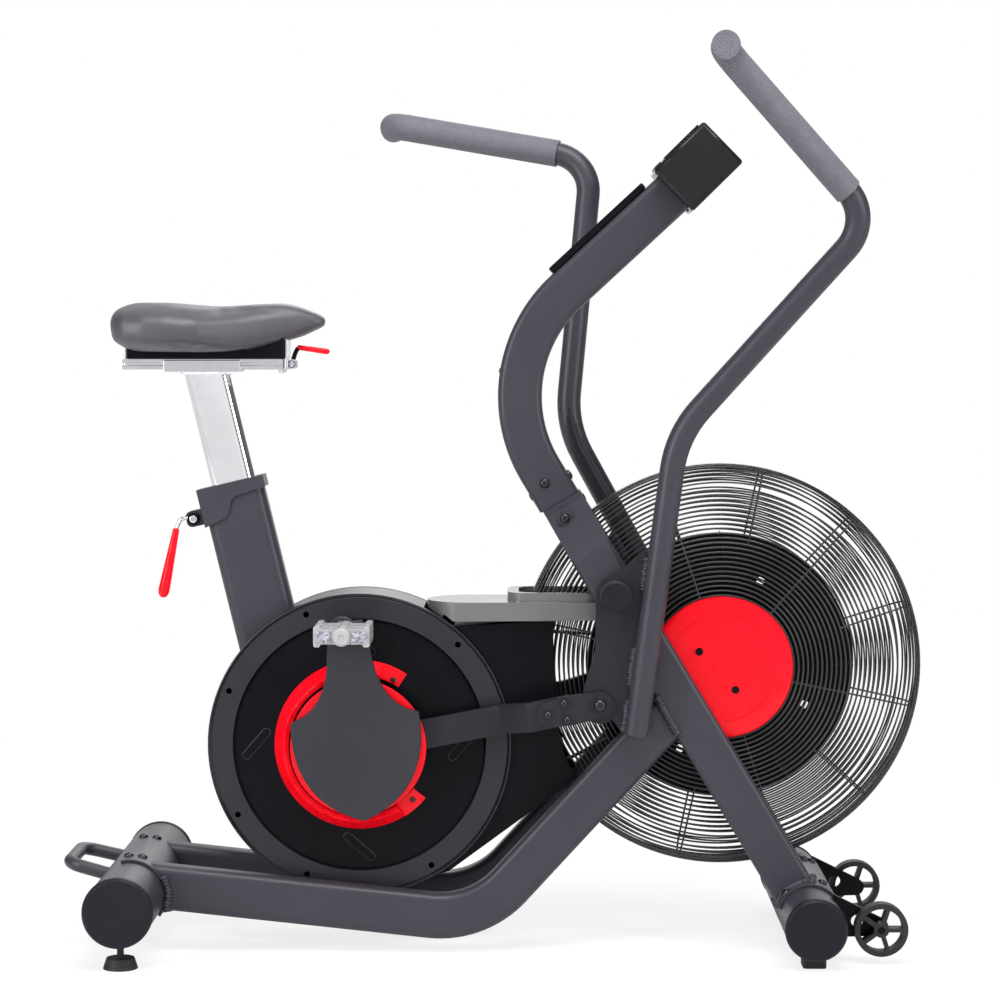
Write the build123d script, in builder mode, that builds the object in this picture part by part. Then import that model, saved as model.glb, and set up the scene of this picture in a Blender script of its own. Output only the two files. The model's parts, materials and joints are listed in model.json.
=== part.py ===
from build123d import *
import os
from math import acos, asin, atan2, cos, degrees, hypot, radians, sin, sqrt

# Air bike: an upright exercise bike whose crank drives a caged fan and two swinging levers.
# World frame: +X forward, +Z up, the rider's right is -Y. The floor is Z = 0 and the origin is under
# the middle of the bike. Most places are given from the crank: forward of its axis, above the floor,
# and out from the middle plane of the bike.

os.makedirs("parts", exist_ok=True)

# ---------------------------------------------------------------- driving dimensions (mm)
rear_reach = 446.0          # crank axis to the back of the carry handle
cage_x = 541.0              # fan axis, forward of the crank
cage_z = 422.0
cage_radius = 302.0
crank_x = (rear_reach - cage_x - cage_radius) / 2
crank_z = 305.0

running_gap = 0.05          # radial gap of a turning fit
free_gap = 0.3              # gap between faces that slide or pass each other
fit_gap = 0.1               # gap between faces that are bolted or pushed together

# stabilizers: the two cross tubes on the floor
rear_bar_x = -338.0
rear_bar_z = 86.0
rear_bar_radius = 50.0
rear_bar_half = 245.0
front_bar_x = 668.0
front_bar_z = 60.0
front_bar_radius = 44.0
front_bar_half = 228.0
cap_length = 14.0
saddle_thickness = 4.5
rear_saddle_half = 112.0
front_saddle_half = 125.0

# side rails and fork legs lie in the same two planes
side_inner = 68.0
side_outer = 108.0
side_middle = (side_inner + side_outer) / 2
side_width = side_outer - side_inner
rail_depth = 67.0
rail_bend_radius = 140.0
leg_depth = 64.0
fork_top = (302.0, 668.0)
fork_foot = (667.0, 60.0)
stub_half = 30.0

# mast
mast_setback = 3.5          # the mast stands a little behind the fork's middle line
mast_depth = 66.0
mast_width = 60.0
mast_lean = 121.0           # direction of its lower run, degrees from forward
mast_lower_run = 56.0
mast_bend_radius = 214.0
mast_bend_angle = 78.3
mast_upper_run = 232.0

# levers
pivot_x = 380.4
pivot_z = 533.5
pivot_pin_radius = 12.0
rocker = 160.6              # lever pivot to rod eye
crank_throw = 50.0
rod_length = 414.5
lever_plate_inner = 118.0
lever_plate_thickness = 6.0
handle_tube_radius = 18.25
grip_radius = 21.0
eye_pin_radius = 8.0
rod_inner = 74.0
rod_thickness = 12.0
rod_height = 43.0
strap_inner = 126.0
strap_thickness = 6.0

# crank and pedals
arm_length = 178.7
arm_angle = 95.1            # of the right crank arm, degrees from forward
web_inner = 60.0
web_outer = 72.0
web_radius = 74.0
disc_inner = 88.0
disc_thickness = 4.0
disc_radius = 101.0
cover_inner = 93.0
cover_outer = 109.0
cover_wall = 3.0
spindle_radius = 12.5
pedal_axle_radius = 7.0
pedal_inner = 114.0
pedal_outer = 220.0
pedal_length = 81.0
pedal_height = 30.0

# shroud, guard rings and drive
shroud_radius = 226.5
shroud_half = 62.0
shroud_recess_radius = 189.5
shroud_recess = 5.0
shroud_wall = 3.0
ring_outer = 127.5
ring_crest = 112.0
ring_inner = 104.0
ring_height = 26.0
pulley_radius = 172.0
drive_ratio = 6.0
fan_pulley_radius = pulley_radius / drive_ratio
belt_middle = 36.0
belt_width = 13.0
belt_thickness = 4.0

# fan and cage
cap_radius = 106.0
hub_face = 61.0             # outer face of the cage at its hub, out from the middle plane
rim_face = 45.0
rim_round = 34.0            # radial depth of the rounded rim
wire = 4.0
rim_half = 12.0
cage_spokes = 12
fan_disc_radius = 190.0
fan_blade_radius = 268.0
fan_blades_count = 12
fan_axle_radius = 8.0

# seat
seat_lean = 13.6            # of the post, towards the back
post_top = (-232.2, 860.4)
post_depth = 67.0
post_width = 32.0
tube_depth = 95.0
tube_width = 48.0
tube_wall = 2.5
collar_drop = 169.4         # post top to collar top, along the post
rail_z = 865.0
seat_rail_height = 16.0
seat_rail_half = 30.0
sleeve_wall = 3.5

# wheels at the front
wheel_x = 767.0
wheel_z = 51.0
wheel_radius = 39.0
wheel_inner = 156.0
wheel_outer = 178.0


# ---------------------------------------------------------------- places
def right(forward, up, out):
    """Point on the rider's right, from the crank axis, the floor and the middle plane."""
    return (crank_x + forward, -out, up)


def side(out):
    """Upright plane on the right, its own X forward, Y up and normal pointing out from the bike."""
    return Plane(origin=(crank_x, -out, 0), x_dir=(1, 0, 0), z_dir=(0, -1, 0))


def side_about(forward, up, out, turn=0.0):
    """The same kind of plane with its origin at a point and its X axis turned up by an angle."""
    return Plane(
        origin=right(forward, up, out),
        x_dir=(cos(radians(turn)), 0, sin(radians(turn))),
        z_dir=(0, -1, 0),
    )


def radial(forward, up, angle):
    """Plane that holds a cross axis: its X points away from the axis, its Y points out to the right."""
    return Plane(
        origin=right(forward, up, 0),
        x_dir=(cos(radians(angle)), 0, sin(radians(angle))),
        z_dir=(sin(radians(angle)), 0, -cos(radians(angle))),
    )


def cross_axis(forward, up):
    """Axis across the bike, pointing to the right."""
    return Axis(right(forward, up, 0), (0, -1, 0))


def step(start, angle, length):
    """Point reached from another one by going a length in a direction."""
    return (start[0] + length * cos(radians(angle)), start[1] + length * sin(radians(angle)))


def other_side(piece, axis=None, turn=0.0):
    """The left-hand copy of a right-hand piece, turned about a cross axis."""
    copy = mirror(piece, about=Plane.XZ, mode=Mode.PRIVATE)
    return copy.rotate(axis, turn) if axis else copy


crank_axis = cross_axis(0, crank_z)
fan_axis = cross_axis(cage_x, cage_z)
pivot_axis = cross_axis(pivot_x, pivot_z)


# ---------------------------------------------------------------- linkage at rest
def rocker_angle(crank_to_eye):
    """Direction of the rocker when the eye is a given distance from the crank axis."""
    pivot_rise = pivot_z - crank_z
    base = hypot(pivot_x, pivot_rise)
    at_pivot = acos((base**2 + rocker**2 - crank_to_eye**2) / (2 * base * rocker))
    return degrees(atan2(-pivot_rise, -pivot_x) + at_pivot)


rear_rocker = rocker_angle(rod_length - crank_throw)
front_rocker = rocker_angle(rod_length + crank_throw)
lever_swing = front_rocker - rear_rocker
eye = step((pivot_x, pivot_z), rear_rocker, rocker)
rod_angle = degrees(atan2(eye[1] - crank_z, eye[0]))
pin = step(eye, rod_angle + 180, rod_length)
left_eye = step((pivot_x, pivot_z), front_rocker, rocker)
left_rod_angle = degrees(atan2(left_eye[1] - crank_z, left_eye[0]))
pedal = step((0, crank_z), arm_angle, arm_length)
fork_angle = degrees(atan2(fork_foot[1] - fork_top[1], fork_foot[0] - fork_top[0]))
fork_length = hypot(fork_foot[0] - fork_top[0], fork_foot[1] - fork_top[1])


# ---------------------------------------------------------------- stabilizers and base fittings
def cross_tube(label, forward, up, radius, half):
    """Plain round tube across the bike."""
    with BuildPart() as tube:
        with BuildSketch(side_about(forward, up, 0)):
            Circle(radius)
        extrude(amount=half - cap_length, both=True)
    tube.part.label = label
    export_step(tube.part, f"parts/{label}.step")
    return tube.part


def end_cap(forward, up, radius, half):
    """Plastic cap with a lip that closes on the right-hand end of a stabilizer."""
    lip = 1.5
    with BuildPart() as cap:
        with BuildSketch(side_about(forward, up, half - cap_length + fit_gap)):
            Circle(radius + lip)
        extrude(amount=cap_length - fit_gap)
        chamfer(cap.edges().filter_by(GeomType.CIRCLE).sort_by(Axis.Y)[0], 4.0)
    return cap.part


def saddle_plate(label, forward, up, radius, half, first_angle, sweep_angle):
    """Bent plate that wraps part of a stabilizer and carries the frame's tubes."""
    with BuildPart() as plate:
        with BuildSketch(side_about(forward, up, 0)):
            with BuildLine():
                outer = CenterArc((0, 0), radius + fit_gap + saddle_thickness, first_angle, sweep_angle)
                inner = CenterArc((0, 0), radius + fit_gap, first_angle, sweep_angle)
                Line(outer @ 0, inner @ 0)
                Line(outer @ 1, inner @ 1)
            make_face()
        extrude(amount=half, both=True)
    plate.part.label = label
    export_step(plate.part, f"parts/{label}.step")
    return plate.part


rear_stabilizer = cross_tube("rear_stabilizer", rear_bar_x, rear_bar_z, rear_bar_radius, rear_bar_half)
front_stabilizer = cross_tube("front_stabilizer", front_bar_x, front_bar_z, front_bar_radius, front_bar_half)
rear_cap = end_cap(rear_bar_x, rear_bar_z, rear_bar_radius, rear_bar_half)
front_cap = end_cap(front_bar_x, front_bar_z, front_bar_radius, front_bar_half)
with BuildPart() as end_caps:
    add([rear_cap, front_cap])
    mirror(about=Plane.XZ)
end_caps.part.label = "end_caps"
export_step(end_caps.part, "parts/end_caps.step")

rear_saddle = saddle_plate(
    "rear_saddle_plate", rear_bar_x, rear_bar_z, rear_bar_radius, rear_saddle_half, -35, 140
)
front_saddle = saddle_plate(
    "front_saddle_plate", front_bar_x, front_bar_z, front_bar_radius, front_saddle_half, 40, 125
)

# carry handle: a round bar bent into a U behind the rear stabilizer
carry_half = 66.0
carry_radius = 10.0
carry_root = (rear_bar_x - 30.0, 110.0)
carry_end = (-rear_reach + carry_radius, 127.0)
with BuildPart() as carry_handle:
    with BuildLine() as carry_line:
        FilletPolyline(
            right(*carry_root, carry_half + 8),
            right(*carry_end, carry_half),
            right(*carry_end, -carry_half),
            right(*carry_root, -carry_half - 8),
            radius=24,
        )
    with BuildSketch(Plane(carry_line.line @ 0, z_dir=carry_line.line % 0)):
        Circle(carry_radius)
    sweep()
    with Locations(Location(right(rear_bar_x, rear_bar_z, 0), (90, 0, 0))):
        Cylinder(rear_bar_radius + fit_gap, 2 * rear_bar_half, mode=Mode.SUBTRACT)
carry_handle.part.label = "carry_handle"
export_step(carry_handle.part, "parts/carry_handle.step")

# levelling feet under the rear stabilizer: rubber pad, nut and threaded stem
foot_out = 209.0
foot_height = 26.0
foot_travel = 10.0
stem_radius = 5.0
stem_top = rear_bar_z - rear_bar_radius + 22.0
with BuildPart() as levelling_foot_right:
    with BuildSketch(Plane.XY):
        with Locations(right(rear_bar_x, 0, foot_out)[:2]):
            Circle(25.5)
    extrude(amount=foot_height - 10.0, taper=18)
    with BuildSketch(Plane.XY.offset(foot_height - 10.0)):
        with Locations(right(rear_bar_x, 0, foot_out)[:2]):
            Circle(stem_radius)
    extrude(amount=stem_top - foot_height + 10.0)
levelling_foot_right.part.label = "levelling_foot_right"
export_step(levelling_foot_right.part, "parts/levelling_foot_right.step")

with BuildPart() as levelling_foot_left:
    add(other_side(levelling_foot_right.part))
levelling_foot_left.part.label = "levelling_foot_left"
export_step(levelling_foot_left.part, "parts/levelling_foot_left.step")

# stem bores in the rear stabilizer, with room for the travel above
with BuildPart() as rear_stabilizer_bored:
    add(rear_stabilizer)
    with BuildSketch(Plane.XY):
        with Locations([right(rear_bar_x, 0, out)[:2] for out in (foot_out, -foot_out)]):
            Circle(stem_radius + running_gap)
    extrude(amount=stem_top + foot_travel + 2.0, mode=Mode.SUBTRACT)
rear_stabilizer_bored.part.label = "rear_stabilizer"
export_step(rear_stabilizer_bored.part, "parts/rear_stabilizer.step")

# rubber feet under the front stabilizer
front_foot_out = 181.0
with BuildPart() as front_feet:
    with BuildSketch(Plane.XY):
        with Locations([right(front_bar_x, 0, out)[:2] for out in (front_foot_out, -front_foot_out)]):
            RectangleRounded(34, 44, 6)
    extrude(amount=30)
    with Locations(Location(right(front_bar_x, front_bar_z, 0), (90, 0, 0))):
        Cylinder(front_bar_radius + fit_gap, 2 * front_bar_half, mode=Mode.SUBTRACT)
front_feet.part.label = "front_feet"
export_step(front_feet.part, "parts/front_feet.step")

# ---------------------------------------------------------------- fork, rails and mast
# fork: stub, crown and two legs, one outline seen square to its face; the sketch's Y runs down the fork
fork_front = Plane(
    origin=right(*fork_top, 0),
    x_dir=(0, -1, 0),
    z_dir=(sin(radians(-fork_angle)), 0, cos(radians(fork_angle))),
)
shoulder_drop = 82.0
arch_drop = 29.0            # the arch leaves room for the cage's rounded rim
arch_top_half = 22.0
arch_foot = 104.0
lower_mast_bolt = (307.0, 644.0)
bolt_boss_radius = 11.0
bolt_boss_height = 24.0
with BuildPart() as front_fork:
    with BuildSketch(fork_front):
        with BuildLine():
            Polyline(
                (stub_half, 0),
                (stub_half, 10),
                (side_outer, shoulder_drop),
                (side_outer, fork_length),
                (side_inner, fork_length),
                (side_inner, arch_foot),
                (arch_top_half, arch_drop),
                (-arch_top_half, arch_drop),
                (-side_inner, arch_foot),
                (-side_inner, fork_length),
                (-side_outer, fork_length),
                (-side_outer, shoulder_drop),
                (-stub_half, 10),
                (-stub_half, 0),
                close=True,
            )
        make_face()
    extrude(amount=leg_depth / 2, both=True)
    fillet(front_fork.edges().filter_by(lambda edge: edge.length > 400), 9)
    with BuildSketch(side_about(*lower_mast_bolt, stub_half)):
        Circle(bolt_boss_radius)
    extrude(amount=bolt_boss_height)
    with BuildSketch(side_about(*lower_mast_bolt, -stub_half)):
        Circle(bolt_boss_radius)
    extrude(amount=-bolt_boss_height)
    with Locations(Location(right(front_bar_x, front_bar_z, 0), (90, 0, 0))):
        Cylinder(front_bar_radius + saddle_thickness + 2 * fit_gap, 600, mode=Mode.SUBTRACT)
front_fork.part.label = "front_fork"

# side rails: low run, long bend and rising run that stops on the back of the fork legs
rail_line_points = [
    right(rear_bar_x, 101.6, side_middle),
    right(177.1, 47.0, side_middle),
    right(459.0, 354.0, side_middle),
]
cross_brace_x = -40.0
cross_brace_z = 58.0
cross_brace_radius = 18.0
with BuildPart() as side_rails:
    with BuildLine() as rail_line:
        FilletPolyline(*rail_line_points, radius=rail_bend_radius)
    with BuildSketch(Plane(rail_line.line @ 0, x_dir=(0, 1, 0), z_dir=rail_line.line % 0)):
        RectangleRounded(side_width, rail_depth, 12)
    sweep()
    with Locations(Location(right(rear_bar_x, rear_bar_z, 0), (90, 0, 0))):
        Cylinder(rear_bar_radius + saddle_thickness + 2 * fit_gap, 600, mode=Mode.SUBTRACT)
    add(front_fork.part, mode=Mode.SUBTRACT)
    mirror(about=Plane.XZ)
    with BuildSketch(side_about(cross_brace_x, cross_brace_z, 0)):
        Circle(cross_brace_radius)
    extrude(amount=side_inner + 2, both=True)
side_rails.part.label = "side_rails"
export_step(side_rails.part, "parts/side_rails.step")

# mast: rounded rectangular tube, bent once
mast_foot = step(fork_top, fork_angle - 90, mast_setback)
mast_bend_start = step(mast_foot, mast_lean, mast_lower_run)
mast_bend_centre = step(mast_bend_start, mast_lean - 90, mast_bend_radius)
mast_upper_lean = mast_lean - mast_bend_angle
mast_bend_end = step(mast_bend_centre, mast_upper_lean + 90, mast_bend_radius)
mast_head = step(mast_bend_end, mast_upper_lean, mast_upper_run)
mast_seam = 0.3
with BuildPart() as mast:
    with BuildLine(side(0)) as mast_line:
        Line(step(mast_foot, mast_lean, mast_seam), mast_bend_start)
        CenterArc(mast_bend_centre, mast_bend_radius, mast_lean + 90, -mast_bend_angle)
        Line(mast_bend_end, mast_head)
    with BuildSketch(Plane(mast_line.line @ 0, x_dir=(0, 1, 0), z_dir=mast_line.line % 0)):
        RectangleRounded(mast_width, mast_depth, 12)
    sweep()
mast.part.label = "mast"
export_step(mast.part, "parts/mast.step")


# ---------------------------------------------------------------- lever pivots and fan bearings
# pivot pins stand out from the fork legs and end in a round cap
pin_end = 145.4
cap_end = 149.0
with BuildPart() as lever_pivots:
    with BuildSketch(side_about(pivot_x, pivot_z, side_outer + fit_gap)):
        Circle(20)
    extrude(amount=1.2)
    with BuildSketch(side_about(pivot_x, pivot_z, side_outer + 1)):
        Circle(pivot_pin_radius)
    extrude(amount=pin_end - side_outer - 1)
    with BuildSketch(side_about(pivot_x, pivot_z, pin_end)):
        Circle(22.5)
    extrude(amount=cap_end - pin_end)
    chamfer(lever_pivots.edges().filter_by(GeomType.CIRCLE).sort_by(Axis.Y)[0], 1.2)
    mirror(about=Plane.XZ)
lever_pivots.part.label = "lever_pivots"
export_step(lever_pivots.part, "parts/lever_pivots.step")

# axle plates: discs inside the cage with two bosses each that reach the fork legs
boss_radius = 11.0
boss_spacing = 80.0
plate_outer_face = hub_face - wire - fit_gap
plate_thickness = 3.0
leg_drop = (cage_x - fork_top[0]) * sin(radians(-fork_angle)) - (fork_top[1] - cage_z) * cos(radians(fork_angle))
boss_middle = step((cage_x, cage_z), fork_angle - 90, leg_drop)
boss_places = [step(boss_middle, fork_angle, along) for along in (-boss_spacing / 2, boss_spacing / 2)]
with BuildPart() as axle_plates:
    with BuildSketch(side_about(cage_x, cage_z, plate_outer_face - plate_thickness)):
        Circle(cap_radius)
    extrude(amount=plate_thickness)
    with BuildSketch(side(plate_outer_face)):
        with Locations(boss_places):
            Circle(boss_radius)
    extrude(amount=side_inner - plate_outer_face)
    with BuildSketch(side_about(cage_x, cage_z, 0)):
        Circle(fan_axle_radius)
    extrude(amount=side_inner, mode=Mode.SUBTRACT)
    mirror(about=Plane.XZ)
axle_plates.part.label = "axle_plates"
export_step(axle_plates.part, "parts/axle_plates.step")

with BuildPart() as fan_axle:
    with BuildSketch(side_about(cage_x, cage_z, 0)):
        Circle(fan_axle_radius)
    extrude(amount=plate_outer_face, both=True)
fan_axle.part.label = "fan_axle"
export_step(fan_axle.part, "parts/fan_axle.step")

export_step(front_fork.part, "parts/front_fork.step")

# ---------------------------------------------------------------- fan cage
# each grille is a dished set of rings and spokes; the rim joins the two sides
grille_rings = (cap_radius + wire / 2, 160.0, 214.0, cage_radius - rim_round)


def grille_face(radius):
    """How far out the cage's wires lie at a radius: a shallow cone from the hub to the rounded rim."""
    slope = (hub_face - rim_face) / (cage_radius - rim_round - cap_radius)
    return hub_face - slope * (radius - cap_radius)


with BuildPart() as cage_right:
    for radius in grille_rings:
        with BuildSketch(radial(cage_x, cage_z, 90)):
            with Locations((radius, grille_face(radius) - wire / 2)):
                Rectangle(wire, wire)
        revolve(axis=fan_axis, revolution_arc=360)
    spoke_start = cap_radius
    spoke_end = cage_radius - rim_round
    for number in range(cage_spokes):
        with BuildSketch(radial(cage_x, cage_z, 18 + number * 360 / cage_spokes)):
            with BuildLine():
                Polyline(
                    (spoke_start, grille_face(spoke_start)),
                    (spoke_end, grille_face(spoke_end)),
                    (cage_radius - 8, 34),
                    (cage_radius, rim_half + fit_gap),
                    (cage_radius - wire, rim_half + fit_gap),
                    (cage_radius - 8 - wire, 30),
                    (spoke_end - 2, grille_face(spoke_end) - wire),
                    (spoke_start, grille_face(spoke_start) - wire),
                    close=True,
                )
            make_face()
        extrude(amount=wire / 2, both=True)
cage_right.part.label = "cage_right"
export_step(cage_right.part, "parts/cage_right.step")

# ---------------------------------------------------------------- drive belt and its pulleys
centre_distance = hypot(cage_x, cage_z - crank_z)
centre_angle = degrees(atan2(cage_z - crank_z, cage_x))
belt_flare = degrees(asin((pulley_radius - fan_pulley_radius) / centre_distance))


def belt_loop(extra):
    """Outline of a loop round both pulleys, a distance outside them."""
    big = pulley_radius + extra
    small = fan_pulley_radius + extra
    top_angle = centre_angle + 90 - belt_flare
    low_angle = centre_angle - 90 + belt_flare
    with BuildLine() as loop:
        Line(step((0, crank_z), top_angle, big), step((cage_x, cage_z), top_angle, small))
        Line(step((0, crank_z), low_angle, big), step((cage_x, cage_z), low_angle, small))
        CenterArc((0, crank_z), big, top_angle, 360 - (top_angle - low_angle))
        CenterArc((cage_x, cage_z), small, low_angle, top_angle - low_angle)
    return loop


with BuildPart() as drive_belt:
    with BuildSketch(side(-belt_middle)):
        with BuildLine():
            add(belt_loop(free_gap + belt_thickness).line)
        make_face()
        with BuildLine():
            add(belt_loop(free_gap).line)
        make_face(mode=Mode.SUBTRACT)
    extrude(amount=belt_width / 2, both=True)
drive_belt.part.label = "drive_belt"
export_step(drive_belt.part, "parts/drive_belt.step")

# the left grille is open where the belt runs in
with BuildPart() as cage_left:
    add(other_side(cage_right.part))
    with Locations(right(cage_x - 255, cage_z - 50, -(hub_face + 8) / 2)):
        Box(110, hub_face - 8, 250, mode=Mode.SUBTRACT)
cage_left.part.label = "cage_left"
export_step(cage_left.part, "parts/cage_left.step")

# rim hoop: a flat band that holds the spokes' ends
with BuildPart() as cage_rim:
    with BuildSketch(side_about(cage_x, cage_z, -rim_half)):
        Circle(cage_radius)
        Circle(cage_radius - 2.5, mode=Mode.SUBTRACT)
    extrude(amount=2 * rim_half)
cage_rim.part.label = "cage_rim"
export_step(cage_rim.part, "parts/cage_rim.step")

# red hub caps, with clear holes for the bosses behind the legs
with BuildPart() as cage_caps:
    with BuildSketch(side_about(cage_x, cage_z, hub_face + fit_gap)):
        Circle(cap_radius)
    extrude(amount=4.8)
    chamfer(cage_caps.edges().filter_by(GeomType.CIRCLE).sort_by(Axis.Y)[0], 2.0)
    with BuildSketch(side(hub_face)):
        with Locations(boss_places):
            Circle(boss_radius + 1)
    extrude(amount=10, mode=Mode.SUBTRACT)
    mirror(about=Plane.XZ)
cage_caps.part.label = "cage_caps"
export_step(cage_caps.part, "parts/cage_caps.step")

# ---------------------------------------------------------------- fan
with BuildPart() as fan_hub:
    with BuildSketch(side_about(cage_x, cage_z, 30)):
        Circle(24)
    extrude(amount=-80)
    with BuildSketch(side_about(cage_x, cage_z, -belt_middle + belt_width / 2 + 1)):
        Circle(fan_pulley_radius)
    extrude(amount=-belt_width - 2)
    with BuildSketch(side_about(cage_x, cage_z, 0)):
        Circle(fan_axle_radius + running_gap)
    extrude(amount=70, both=True, mode=Mode.SUBTRACT)
fan_hub.part.label = "fan_hub"
export_step(fan_hub.part, "parts/fan_hub.step")

with BuildPart() as fan_wheel:
    with BuildSketch(side_about(cage_x, cage_z, 24)):
        Circle(fan_disc_radius)
        Circle(24.1, mode=Mode.SUBTRACT)
        with PolarLocations(140, 4, start_angle=64.7):
            Circle(6, mode=Mode.SUBTRACT)
    extrude(amount=2)
    for number in range(fan_blades_count):
        with BuildSketch(radial(cage_x, cage_z, number * 360 / fan_blades_count)):
            with BuildLine():
                Polyline(
                    (fan_disc_radius - 40, 24),
                    (fan_disc_radius - 20, 38),
                    (fan_blade_radius, 34),
                    (fan_blade_radius, -16),
                    (fan_disc_radius - 10, -22),
                    (fan_disc_radius - 40, 20),
                    close=True,
                )
            make_face()
        extrude(amount=0.8, both=True)
fan_wheel.part.label = "fan_wheel"
export_step(fan_wheel.part, "parts/fan_wheel.step")

# ---------------------------------------------------------------- seat tube, clamp and post
# seat frame: X across the post towards the front, Y up the post; its origin is the top of the post
seat_side = side_about(*post_top, 0, seat_lean)
tube_shift = -4.0           # the tube sits a little behind the post
tube_foot = -(post_top[1] - cross_brace_z) / cos(radians(seat_lean)) + 14
collar_wall = 4.0
collar_height = 57.0
collar_front_height = 17.0


def across_post(along):
    """Plane square to the post, a distance up it from its top; its X runs across the bike."""
    return Plane(
        origin=right(*step(post_top, 90 + seat_lean, along), 0),
        x_dir=(0, -1, 0),
        z_dir=(-sin(radians(seat_lean)), 0, cos(radians(seat_lean))),
    )


def flat_oval(depth, width, shift=0.0):
    """Rounded rectangle with full round ends, long along the bike."""
    with Locations((0, shift)):
        RectangleRounded(width, depth, width / 2 - 0.5)


post_insert = 190.0
with BuildPart() as seat_tube:
    with BuildSketch(across_post(-collar_drop - 1)):
        with Locations((0, tube_shift)):
            RectangleRounded(tube_width, tube_depth, 16)
    extrude(amount=tube_foot + collar_drop + 1)
    with BuildSketch(across_post(-collar_drop)):
        with Locations((0, tube_shift)):
            RectangleRounded(tube_width - 2 * tube_wall, tube_depth - 2 * tube_wall, 13.5)
    extrude(amount=tube_foot + collar_drop + 12, mode=Mode.SUBTRACT)
    with BuildSketch(side_about(cross_brace_x, cross_brace_z, 0)):
        Circle(cross_brace_radius + fit_gap)
    extrude(amount=side_inner, both=True, mode=Mode.SUBTRACT)
seat_tube.part.label = "seat_tube"
export_step(seat_tube.part, "parts/seat_tube.step")

# bottom bracket: bearing shell with a strut back to the seat tube
shell_radius = 24.0
shell_inner_half = 28.0
with BuildPart() as bottom_bracket:
    with BuildSketch(side_about(0, crank_z, 0)):
        Circle(shell_radius)
    extrude(amount=shell_inner_half, both=True)
    with BuildSketch(side(0)):
        with Locations((-40, crank_z)):
            Rectangle(80, 34)
    extrude(amount=18, both=True)
    with BuildSketch(across_post(-collar_drop)):
        with Locations((0, tube_shift - 60)):
            Rectangle(tube_width + 10, tube_depth + 2 * fit_gap + 120)
    extrude(amount=tube_foot, mode=Mode.SUBTRACT)
    with BuildSketch(side_about(0, crank_z, 0)):
        Circle(spindle_radius + running_gap)
    extrude(amount=60, both=True, mode=Mode.SUBTRACT)
bottom_bracket.part.label = "bottom_bracket"
export_step(bottom_bracket.part, "parts/bottom_bracket.step")

# clamp collar: cast cap over the tube's mouth, low at the front, with two ears and a bolt behind
ear_bolt = (-70.0, -collar_drop - 40.0)
with BuildPart() as seat_clamp:
    with BuildSketch(seat_side):
        with BuildLine():
            rear_edge = tube_shift - tube_depth / 2 - collar_wall
            front_edge = tube_shift + tube_depth / 2 + collar_wall
            top = -collar_drop + 1
            low_rear = (rear_edge, -collar_drop - collar_height)
            mid_low = (-24.0, -collar_drop - 50.0)
            mid_high = (2.0, -collar_drop - 21.0)
            low_front = (front_edge, -collar_drop - collar_front_height)
            Polyline((front_edge, top), (rear_edge, top), low_rear, mid_low)
            Spline(mid_low, mid_high, tangents=[(1, 0.3), (1, 0.15)])
            Polyline(mid_high, low_front, (front_edge, top))
        make_face()
    extrude(amount=tube_width / 2 + collar_wall, both=True)
    with BuildSketch(seat_side):
        with Locations((ear_bolt[0] + 6, ear_bolt[1])):
            RectangleRounded(36, 24, 8)
    extrude(amount=15, both=True)
    with BuildSketch(across_post(-collar_drop - 0.9)):
        with Locations((0, tube_shift)):
            RectangleRounded(tube_width + 2 * fit_gap, tube_depth + 2 * fit_gap, 16)
    extrude(amount=-100, mode=Mode.SUBTRACT)
    with BuildSketch(across_post(-collar_drop + 2)):
        flat_oval(post_depth + 2 * free_gap, post_width + 2 * free_gap)
    extrude(amount=-10, mode=Mode.SUBTRACT)
    with BuildSketch(seat_side):
        with Locations((ear_bolt[0] - 6, ear_bolt[1])):
            Rectangle(26, 40)
    extrude(amount=4, both=True, mode=Mode.SUBTRACT)
    with BuildSketch(seat_side):
        with Locations(ear_bolt):
            Circle(4 + running_gap)
    extrude(amount=40, both=True, mode=Mode.SUBTRACT)
seat_clamp.part.label = "seat_clamp"
export_step(seat_clamp.part, "parts/seat_clamp.step")

# clamp lever: bolt through the ears, wire and a dipped grip that hangs behind the tube
lever_out = 17.0
with BuildPart() as clamp_lever:
    with BuildSketch(seat_side.offset(-19)):
        with Locations(ear_bolt):
            Circle(4)
    extrude(amount=19 + lever_out + 8)
    with BuildSketch(seat_side.offset(lever_out - 1)):
        with Locations(ear_bolt):
            Circle(9)
    extrude(amount=8)
    with BuildSketch(seat_side.offset(-20)):
        with Locations(ear_bolt):
            RegularPolygon(8, 6)
    extrude(amount=4.5)
    with BuildSketch(seat_side.offset(lever_out)):
        with BuildLine():
            Polyline(
                (-70, -collar_drop - 44),
                (-98, -collar_drop - 52),
                (-139, -collar_drop - 146),
                (-153, -collar_drop - 140),
                (-104, -collar_drop - 42),
                (-72, -collar_drop - 35),
                close=True,
            )
        make_face()
    extrude(amount=6)
clamp_lever.part.label = "clamp_lever"
export_step(clamp_lever.part, "parts/clamp_lever.step")

# seat post: flat-oval tube, closed at the top
with BuildPart() as seat_post:
    with BuildSketch(across_post(0)):
        flat_oval(post_depth, post_width)
    extrude(amount=-(collar_drop + post_insert))
    with BuildSketch(across_post(-6)):
        flat_oval(post_depth - 5, post_width - 5)
    extrude(amount=-(collar_drop + post_insert), mode=Mode.SUBTRACT)
    with Locations((crank_x + post_top[0], 0, post_top[1] + 21)):
        Box(200, 100, 40, mode=Mode.SUBTRACT)
seat_post.part.label = "seat_post"
export_step(seat_post.part, "parts/seat_post.step")

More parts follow.
